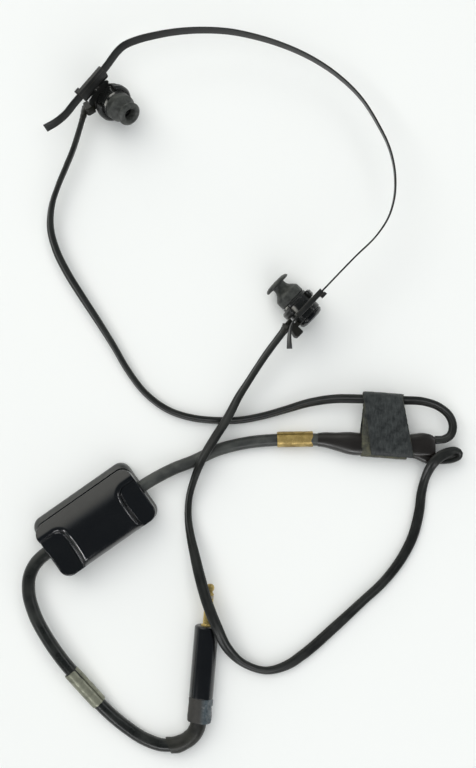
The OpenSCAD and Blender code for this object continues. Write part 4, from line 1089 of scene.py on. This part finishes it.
def land_share(x, y):
    """0 on the raised block and the crown, 1 on a land, and between them in the wall."""
    near, far, top = LANDS[1 if x > 0 else -1]
    bow = WALL_BOW * ((y - BOW_MIDDLE) / BOW_HALF) ** 2
    near, far = near + bow, far + bow
    dx, dy = abs(x) - near - LAND_CORNER, top - LAND_CORNER - y
    if dx < 0 and dy < 0:
        depth = LAND_CORNER - math.hypot(dx, dy)
    else:
        depth = LAND_CORNER + min(dx, dy)
    return min(1.0, max(0.0, depth / (far - near)))


# the wall rounds over widely, down to this share of it, and meets the land almost sharply
WALL_TURN, STEEPEST = 0.78, 0.985


def quarter(u):
    """Falls from 0 to 1 as a quarter circle does, stopped just short of upright."""
    return (1 - math.sqrt(1 - (STEEPEST * u) ** 2)) / (1 - math.sqrt(1 - STEEPEST ** 2))


def wall_fall(share):
    """How far down its wall a point is: rounded over until the turn, and filleted after it."""
    if share < WALL_TURN:
        return WALL_TURN * quarter(share / WALL_TURN)
    return 1 - (1 - WALL_TURN) * quarter((1 - share) / (1 - WALL_TURN))


# the rim's rounding on the high and the low side, what the raised block adds to its width and to its
# drop along the low side, and where across the box that begins and is full
HIGH_RIM, LOW_RIM, BROAD_WIDTH, BROAD_DROP, BROAD_FROM, BROAD_FULL = 0.5, 1.4, 4.2, 5.2, 8, 16


def cover_height(x, y):
    """Top of the cover over a point of the box, with the crown, the lands and the rounded rim."""
    crown = BOX_HEIGHT - CROWN_BEND * max(0, y - CROWN_FROM) ** 2
    share = land_share(x, y)
    low = LAND_TOP - LAND_BEND * max(0, y) ** 2
    fall = wall_fall(share)
    top = crown + (min(low, crown) - crown) * fall
    # how far in from the rim
    qx = abs(x) - COVER_HALF + BOX_CORNER
    qy = abs(y - COVER_MIDDLE) - COVER_REACH + BOX_CORNER
    rim = BOX_CORNER - (math.hypot(qx, qy) if qx > 0 and qy > 0 else max(qx, qy))
    broad = (1 - fall) * smooth_step(-y, BROAD_FROM, BROAD_FULL)
    soft = (HIGH_RIM if y > 0 else LOW_RIM) + BROAD_WIDTH * broad
    outward = 1 - min(max(rim, 0), soft) / soft
    return top - (soft + BROAD_DROP * broad) * (1 - math.sqrt(max(0, 1 - outward ** 2)))


# the top's grid of points, closer together toward its rim
COLUMNS, ROWS, ROW_CROWDING, COLUMN_CROWDING = 300, 190, 0.94, 0.25
grid = []
for j in range(ROWS + 1):
    v = math.sin((j / ROWS - 0.5) * math.pi * ROW_CROWDING) / math.sin(ROW_CROWDING / 2 * math.pi)
    side = v * COVER_REACH
    over = max(0.0, abs(side) - (COVER_REACH - BOX_CORNER))
    reach_x = COVER_HALF - BOX_CORNER + math.sqrt(max(0.0, BOX_CORNER ** 2 - over ** 2))
    row = []
    for i in range(COLUMNS + 1):
        u = i / COLUMNS * 2 - 1
        u = u * (1 - COLUMN_CROWDING) + COLUMN_CROWDING * math.sin(u * math.pi / 2)
        row.append((u * reach_x, side + COVER_MIDDLE))
    grid.append(row)
vertices = [(x, y, cover_height(x, y)) for row in grid for x, y in row]
width = COLUMNS + 1
faces = [(j * width + i, j * width + i + 1, (j + 1) * width + i + 1, (j + 1) * width + i)
         for j in range(ROWS) for i in range(COLUMNS)]
# the skirt goes down from the rim of the top to the seam, with a half-round way for each cord
rim = (list(range(width)) + [j * width + COLUMNS for j in range(1, ROWS + 1)]
       + [ROWS * width + i for i in range(COLUMNS - 1, -1, -1)]
       + [j * width for j in range(ROWS - 1, 0, -1)])
loop = rim
for share in (0.12, 0.4, 0.7, 0.94, 1):
    start = len(vertices)
    for index in rim:
        x, y, z = vertices[index]
        way = math.sqrt(max(0, (GROMMET_HOLE / 2) ** 2 - y ** 2)) if abs(x) > COVER_HALF - 2 else 0
        low = SEAM + SEAM_GAP + way
        tuck = SEAM_TUCK if share == 1 and not way else 0
        vertices.append((x * (1 - tuck / COVER_HALF), y * (1 - tuck / COVER_HIGH), z + (low - z) * share))
    new = list(range(start, start + len(rim)))
    faces += [(loop[k], new[k], new[(k + 1) % len(rim)], loop[(k + 1) % len(rim)])
              for k in range(len(rim))]
    loop = new
cover = part_of("moulded_box_cover", vertices, faces, phenolic)
wall = cover.modifiers.new("wall", "SOLIDIFY")
wall.thickness, wall.offset, wall.use_even_offset = COVER_WALL, -1, False
cover.data = bpy.data.meshes.new_from_object(cover.evaluated_get(bpy.context.evaluated_depsgraph_get()))
cover.modifiers.clear()
cover.data.transform(box_place)
# only the rim's edge stays crisp: the walls of the lands roll over
cover.data.set_sharp_from_angle(angle=math.radians(60))
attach(cover, "headset")
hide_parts("box_cover")


def tray_ring(inset, z, shoulder):
    """A ring round the tray, in from its widest, and drawn in by its shoulder on the crowned side."""
    half_l, half_w = BOX_LENGTH / 2 - inset - shoulder * 0.05, BOX_WIDTH / 2 - inset - shoulder / 2
    return [(x, y - shoulder / 2, z)
            for x, y in rounded_loop(half_l, half_w, max(BOX_CORNER - inset, 1.2), 12)]


# the tray, from the middle of its underside round to its floor: its shoulder is well rounded along
# the crowned side of the box and nearly square on the other three
rings = [tray_ring(*ring) for ring in (
    (4, 0.5, 0), (3.2, 0.5, 0), (3, 0, 0), (1.1, 0, 0), (0.4, 0.3, 0), (0, 1.1, 0), (0, 6, 0),
    (0.02, 7.2, 0.2), (0.05, 8.3, 0.7), (0.1, 9.3, 1.4), (0.15, 10.2, 2.3), (0.2, 10.9, 3.2),
    (0.22, 11.3, 3.5), (0.22, 11.6, 3.7), (0.25, 11.6, 3.8), (0.4, 10.6, 3.9), (0.6, 8.6, 4.1),
    (1, 8.4, 4.7), (1.1, 8.6, 4.8), (1.1, SEAM, 4.8), (2.4, SEAM, 4.8),
    (2.4, 2.6, 4.8), (2.9, 2.4, 4.8))]
dull_phenolic = moulded_phenolic("handled_black_phenolic", "#1f211f", 0.3, "#2b2926")
base = loft("moulded_box_base", rings, dull_phenolic)
base.data.transform(box_place)
cord_way = box_place @ Matrix.Translation((0, 0, SEAM)) @ Matrix.Rotation(math.pi / 2, 4, "Y")
SCREW_PLACES = [(x, y) for x in (-31, 31) for y in (-12, 12)]
cut(base, [rod(cord_way, GROMMET_HOLE / 2, -60, 60)]
    + [rod(box_place @ Matrix.Translation((x, y, 0)), 3.1, -1, 1.5, 40) for x, y in SCREW_PLACES])
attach(base, "headset")
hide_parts("box_base")

# four slotted screws in counterbores of the underside
blued_screw = aged_metal("blackened_machine_screw", "#5b5a57", "#34322f", 0.35, 2)
shafts = []
for x, y in SCREW_PLACES:
    spot_place = box_place @ Matrix.Translation((x, y, 0))
    screw = lathe("screw", spot_place, [
        (0, 0.1), (1.9, 0.15), (2.75, 0.7), (2.75, 1.45), (1.5, 1.48), (1.5, 15.4), (0, 15.4)],
        blued_screw, 36, 0.25)
    slot_cut = bmesh.new()
    bmesh.ops.create_cube(slot_cut, size=1.0, matrix=Matrix.Diagonal((7, 0.7, 1.1, 1)))
    slot_mesh = bpy.data.meshes.new("slot")
    slot_cut.to_mesh(slot_mesh)
    slot_cut.free()
    turn = Matrix.Rotation(math.radians(37 * x + 11 * y), 4, "Z")
    cut(screw, [settle("slot", slot_mesh, spot_place @ turn, blued_screw)])
    shafts.append(screw)
screws = unite("slotted_box_screws", shafts)
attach(screws, "headset")
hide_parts("box_screws")

# soft rubber grommets, squeezed between tray and cover round the cord
for name, node, half_turn, bore in (("upper_cord_grommet", "upper_grommet", 0, UPPER_CORD / MM),
                                    ("lower_cord_grommet", "lower_grommet", 180, LOWER_CORD / MM)):
    where = (box_place @ Matrix.Rotation(math.radians(half_turn), 4, "Z")
             @ Matrix.Translation((0, 0, SEAM)) @ Matrix.Rotation(math.pi / 2, 4, "Y"))
    grommet = lathe(name, where, [
        (bore / 2 + 0.02, 37), (6.4, 37), (6.4, 38.5), (5.75, 38.5), (5.75, 41), (5.3, 41.7),
        (bore / 2 + 0.02, 41.8)], jacket, 48, 0.4)
    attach(grommet, "headset")
    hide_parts(node)

# ---- plug ----------------------------------------------------------------------------------------
# A quarter-inch two-contact plug: a turned brass finger, insulated near its tip, in a long polished
# phenolic shell that screws off. A band of old friction tape holds the cord's sleeve to the shell.
plug_place = (Matrix.Translation((-0.0106, -0.3136, 0.0089)) @ Matrix.Rotation(math.radians(85.2), 4, "Z")
              @ Matrix.Rotation(math.pi / 2, 4, "Y") @ Matrix.Scale(MM, 4))
FINGER, TIP_END, SHELL_RADIUS, SHELL_LENGTH = 3.175, 30.5, 8.75, 53
turned_brass = aged_metal("turned_plug_brass", "#dcc27c", "#a38c52", 0.24, 7, 0.75)

shell = lathe("phenolic_plug_shell", plug_place, [
    (4.6, -0.7), (5.2, 0), (7.4, 0), (8.5, -0.7), (SHELL_RADIUS, -1.6), (SHELL_RADIUS, -37.3),
    (8.72, -37.7), (SHELL_RADIUS, -38.1), (SHELL_RADIUS, 1 - SHELL_LENGTH),
    (7.75, -SHELL_LENGTH), (4.9, -SHELL_LENGTH), (4.9, 6 - SHELL_LENGTH),
    (6.6, 8 - SHELL_LENGTH), (6.6, -4), (4.6, -4)], phenolic, 96, 0.35)
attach(shell, "headset")
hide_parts("plug_shell")

sleeve = lathe("turned_sleeve_contact", plug_place, [
    (2, -16), (5.6, -16), (5.6, -6), (4.4, -6), (4.4, 0.6), (4.1, 0.9), (3.3, 0.9), (FINGER, 1.2),
    (FINGER, TIP_END - 10.6), (2, TIP_END - 10.6)], turned_brass, 64, 0.12)
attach(sleeve, "headset")
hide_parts("sleeve_contact")

tip = lathe("turned_tip_contact", plug_place, [
    (0, -20), (1.2, -20), (1.2, TIP_END - 8.6), (FINGER, TIP_END - 8.6), (FINGER, TIP_END - 7.5),
    (2.7, TIP_END - 6.9), (2.1, TIP_END - 6.1), (2.15, TIP_END - 5.6), (2.8, TIP_END - 4.6),
    (FINGER, TIP_END - 3.5), (3.12, TIP_END - 2.4), (2.6, TIP_END - 1.1), (1.5, TIP_END - 0.25),
    (0, TIP_END)], turned_brass, 64, 0.5)
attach(tip, "headset")
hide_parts("tip_contact")

# the ring between the contacts, and the tube and block inside, are vulcanised fibre, grey-brown
fibre, fibre_surface = new_material("vulcanised_fibre", Roughness=0.6)
spot = add(fibre, "ShaderNodeTexCoord").outputs["Object"]
mottle = add(fibre, "ShaderNodeTexNoise", {"Vector": spot, "Scale": 1 / 0.001, "Detail": 5.0})
tint = add(fibre, "ShaderNodeMix", {
    "Factor": mottle.outputs["Fac"], 6: linear("#8a7f6e"), 7: linear("#b9ae9c")}, data_type="RGBA")
join(fibre, tint.outputs[2], fibre_surface, "Base Color")
parts = [
    lathe("tube", plug_place, [(1.25, -19), (1.9, -19), (1.9, TIP_END - 11), (1.25, TIP_END - 11)],
          fibre, 40, 0.1),
    lathe("washer", plug_place, [
        (2, TIP_END - 10.55), (FINGER, TIP_END - 10.55), (FINGER, TIP_END - 8.65), (2, TIP_END - 8.65)],
        fibre, 56, 0.1),
    lathe("block", plug_place, [
        (0, -26), (5.6, -26), (5.6, -20), (2, -20), (2, -20.9), (0, -20.9)], fibre, 40, 0.2)]
insulators = unite("fibre_plug_insulators", parts)
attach(insulators, "headset")
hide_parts("plug_insulators")

# ---- tape and sleeve -----------------------------------------------------------------------------
# Friction tape, wound round the end of the shell and gone hard: matt brown-grey where its cloth shows,
# crumpled and shiny where its gum has set. Under it a soft rubber sleeve bends with the cord.
# Cotton cloth soaked in gum: the noise dirties the cloth and mottles the gum
friction_tape, tape_surface = new_material("wound_friction_tape", IOR=1.5)
spot = add(friction_tape, "ShaderNodeTexCoord").outputs["Object"]
gum_of = add(friction_tape, "ShaderNodeAttribute", attribute_name="gum")
cloud = add(friction_tape, "ShaderNodeTexNoise",
            {"Vector": spot, "Scale": 1 / 0.003, "Detail": 8.0, "Roughness": 0.7, "Distortion": 0.5})
cloth = add(friction_tape, "ShaderNodeMix", {
    "Factor": cloud.outputs["Fac"], 6: linear("#22211f"), 7: linear("#3c3a36")}, data_type="RGBA")
gum = add(friction_tape, "ShaderNodeMix", {
    "Factor": cloud.outputs["Fac"], 6: linear("#1a1f23"), 7: linear("#5e696e")}, data_type="RGBA")
tint = add(friction_tape, "ShaderNodeMix", {
    "Factor": gum_of.outputs["Fac"], 6: cloth.outputs[2], 7: gum.outputs[2]}, data_type="RGBA")
join(friction_tape, tint.outputs[2], tape_surface, "Base Color")
shine = add(friction_tape, "ShaderNodeMapRange", {
    "Value": gum_of.outputs["Fac"], "To Min": 0.62, "To Max": 0.24})
join(friction_tape, shine.outputs["Result"], tape_surface, "Roughness")
# the cloth's threads, drawn 1 mm apart so that they show
threads = add(friction_tape, "ShaderNodeTexWave", {"Vector": spot, "Scale": 1 / 0.0032, "Distortion": 1.0})
bump = add(friction_tape, "ShaderNodeBump", {
    "Height": threads.outputs["Fac"], "Strength": 0.12, "Distance": 0.0002})
join(friction_tape, bump.outputs["Normal"], tape_surface, "Normal")

TAPE_START, TAPE_END = -SHELL_LENGTH - 17, -SHELL_LENGTH + 0.6
TAPE_RADIUS, TAPE_LAYER, TAPE_THICK = 8.55, 0.25, 0.9
# the tape's gum has set hardest on the right of the shell
GUM_SIDE = math.radians(271)
count, rows, gums = 120, [], []
for z in np.linspace(TAPE_START, TAPE_END, 56):
    ring = []
    for face in (1, 0):
        for i in range(count):
            a = 2 * math.pi * (i if face else count - 1 - i) / (count - 1)
            # crumpled on the right of the shell, smooth on the left
            gummed = smooth_step(math.cos(a - GUM_SIDE), -0.05, 0.45)
            fold = noise.noise(Vector((math.cos(a) * 1.6, math.sin(a) * 1.6, z * 0.22)))
            crease = abs(noise.noise(Vector((math.cos(a) * 3.4, math.sin(a) * 3.4, z * 0.5 + 4))))
            r = TAPE_RADIUS + 0.25 * fold + gummed * (0.55 * fold - 0.9 * crease + 0.35)
            r += TAPE_LAYER * (a / (2 * math.pi))
            edge = min(z - TAPE_START, TAPE_END - z)
            r -= 0.35 * math.exp(-(edge / 0.5) ** 2)
            r = r if face else r - TAPE_THICK - 0.8 * smooth_step(edge, 0, 2.5)
            wander = 0.5 * noise.noise(Vector((math.cos(a), math.sin(a), 7.0))) * (
                1 if z > TAPE_END - 3 or z < TAPE_START + 3 else 0)
            ring.append((r * math.cos(a), r * math.sin(a), z + wander))
            gums.append(gummed)
    rows.append(ring)
tape = loft("wound_friction_tape_collar", rows, friction_tape)
tape.data.transform(plug_place)
note(tape, "gum", gums)
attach(tape, "headset")
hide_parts("tape_wrap")

sleeve_route = [
    (-0.0385, -0.40143, 0.0061), (-0.0335, -0.4012, 0.0061),
    (-0.025, -0.3974, 0.0066), (-0.019, -0.391, 0.0076), (-0.0166, -0.383, 0.0086),
    (-0.0157, -0.374, 0.0089), (-0.0152, -0.367, 0.0089)]
SLEEVE, SLEEVE_POINTS = 0.012, 36
sleeve_line = follow(sleeve_route, 0.0006)
sleeve_count = len(sleeve_line)


def puckered(i, a):
    """The sleeve is a little uneven, and has gathered in low folds inside its bend."""
    u = i / sleeve_count
    bent = math.exp(-((u - 0.55) / 0.26) ** 2)
    turn = 2 * math.pi * a / SLEEVE_POINTS
    gather = 0.025 * math.sin(i * 0.52) * max(0, math.cos(turn - math.pi)) * bent
    return 0.985 + gather + 0.03 * noise.noise(Vector((i * 0.08, math.cos(turn), math.sin(turn))))


sleeve_rubber = aged_rubber("matt_sleeve_rubber", "#161613", "#2c2c25", 0.44, 0.25)
cord_sleeve = skin("rubber_cord_sleeve", sleeve_line, round_outline(SLEEVE, SLEEVE_POINTS),
                   sleeve_rubber, puckered, round_ends=False)
# its open end was cut off aslant
SLANT, SLANTED = 0.6, 0.014
end = Vector(sleeve_route[0])
for vertex in cord_sleeve.data.vertices:
    near = max(0, 1 - (vertex.co - end).length / SLANTED)
    vertex.co.x -= SLANT * (vertex.co.y - end.y) * near
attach(cord_sleeve, "headset")
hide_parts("cord_sleeve")

# ---- inside the receivers, the box and the plug --------------------------------------------------
# These pieces are out of sight in use: magnets, coils, diaphragms, the transformer on its laminated
# core, terminals and screws. Each keeps its plain solid and takes the finish of its real metal or board.
def wound(name, colour, dark, wire_mm, gloss):
    """Enamelled copper wire wound in even turns, drawn twice as coarse as the wire so that they
    show."""
    material, surface = new_material(name, Metallic=0.7, Roughness=gloss)
    spot = add(material, "ShaderNodeTexCoord").outputs["Object"]
    turns = add(material, "ShaderNodeTexWave", {
        "Vector": spot, "Scale": 1000 / (wire_mm * 2 * math.pi), "Distortion": 0.6, "Detail": 1.0},
        bands_direction="Z")
    tint = add(material, "ShaderNodeMix", {
        "Factor": turns.outputs["Fac"], 6: linear(dark), 7: linear(colour)}, data_type="RGBA")
    join(material, tint.outputs[2], surface, "Base Color")
    bump = add(material, "ShaderNodeBump", {
        "Height": turns.outputs["Fac"], "Strength": 0.5, "Distance": 0.0002})
    join(material, bump.outputs["Normal"], surface, "Normal")
    return material


magnet_steel = aged_metal("ground_magnet_steel", "#6f7072", "#4a4b4d", 0.34, 4)
soft_iron = aged_metal("annealed_soft_iron", "#8a8885", "#5f5b56", 0.42, 3)
diaphragm_iron = aged_metal("lacquered_diaphragm_iron", "#5c5a56", "#3f3d3a", 0.5, 6)
core_iron = aged_metal("varnished_laminations", "#77716a", "#4c443b", 0.45, 3)
copper_wire = wound("enamelled_coil_wire", "#b0683c", "#6d3a20", 0.4, 0.35)
brass_screw = aged_metal("turned_brass_screw", "#c9a955", "#8c7236", 0.28, 2)

inside = [("laminated_core", core_iron), ("coil_bobbin", fibre), ("transformer_winding", copper_wire),
          ("terminal_strip", fibre), ("terminal_screws", brass_screw)]
for side in ("left", "right"):
    inside += [(side + "_diaphragm", diaphragm_iron), (side + "_magnet", magnet_steel),
               (side + "_pole_piece", soft_iron), (side + "_coil", copper_wire)]
for node, material in inside:
    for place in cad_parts[node].material_slots:
        place.link = "OBJECT"
        place.material = material
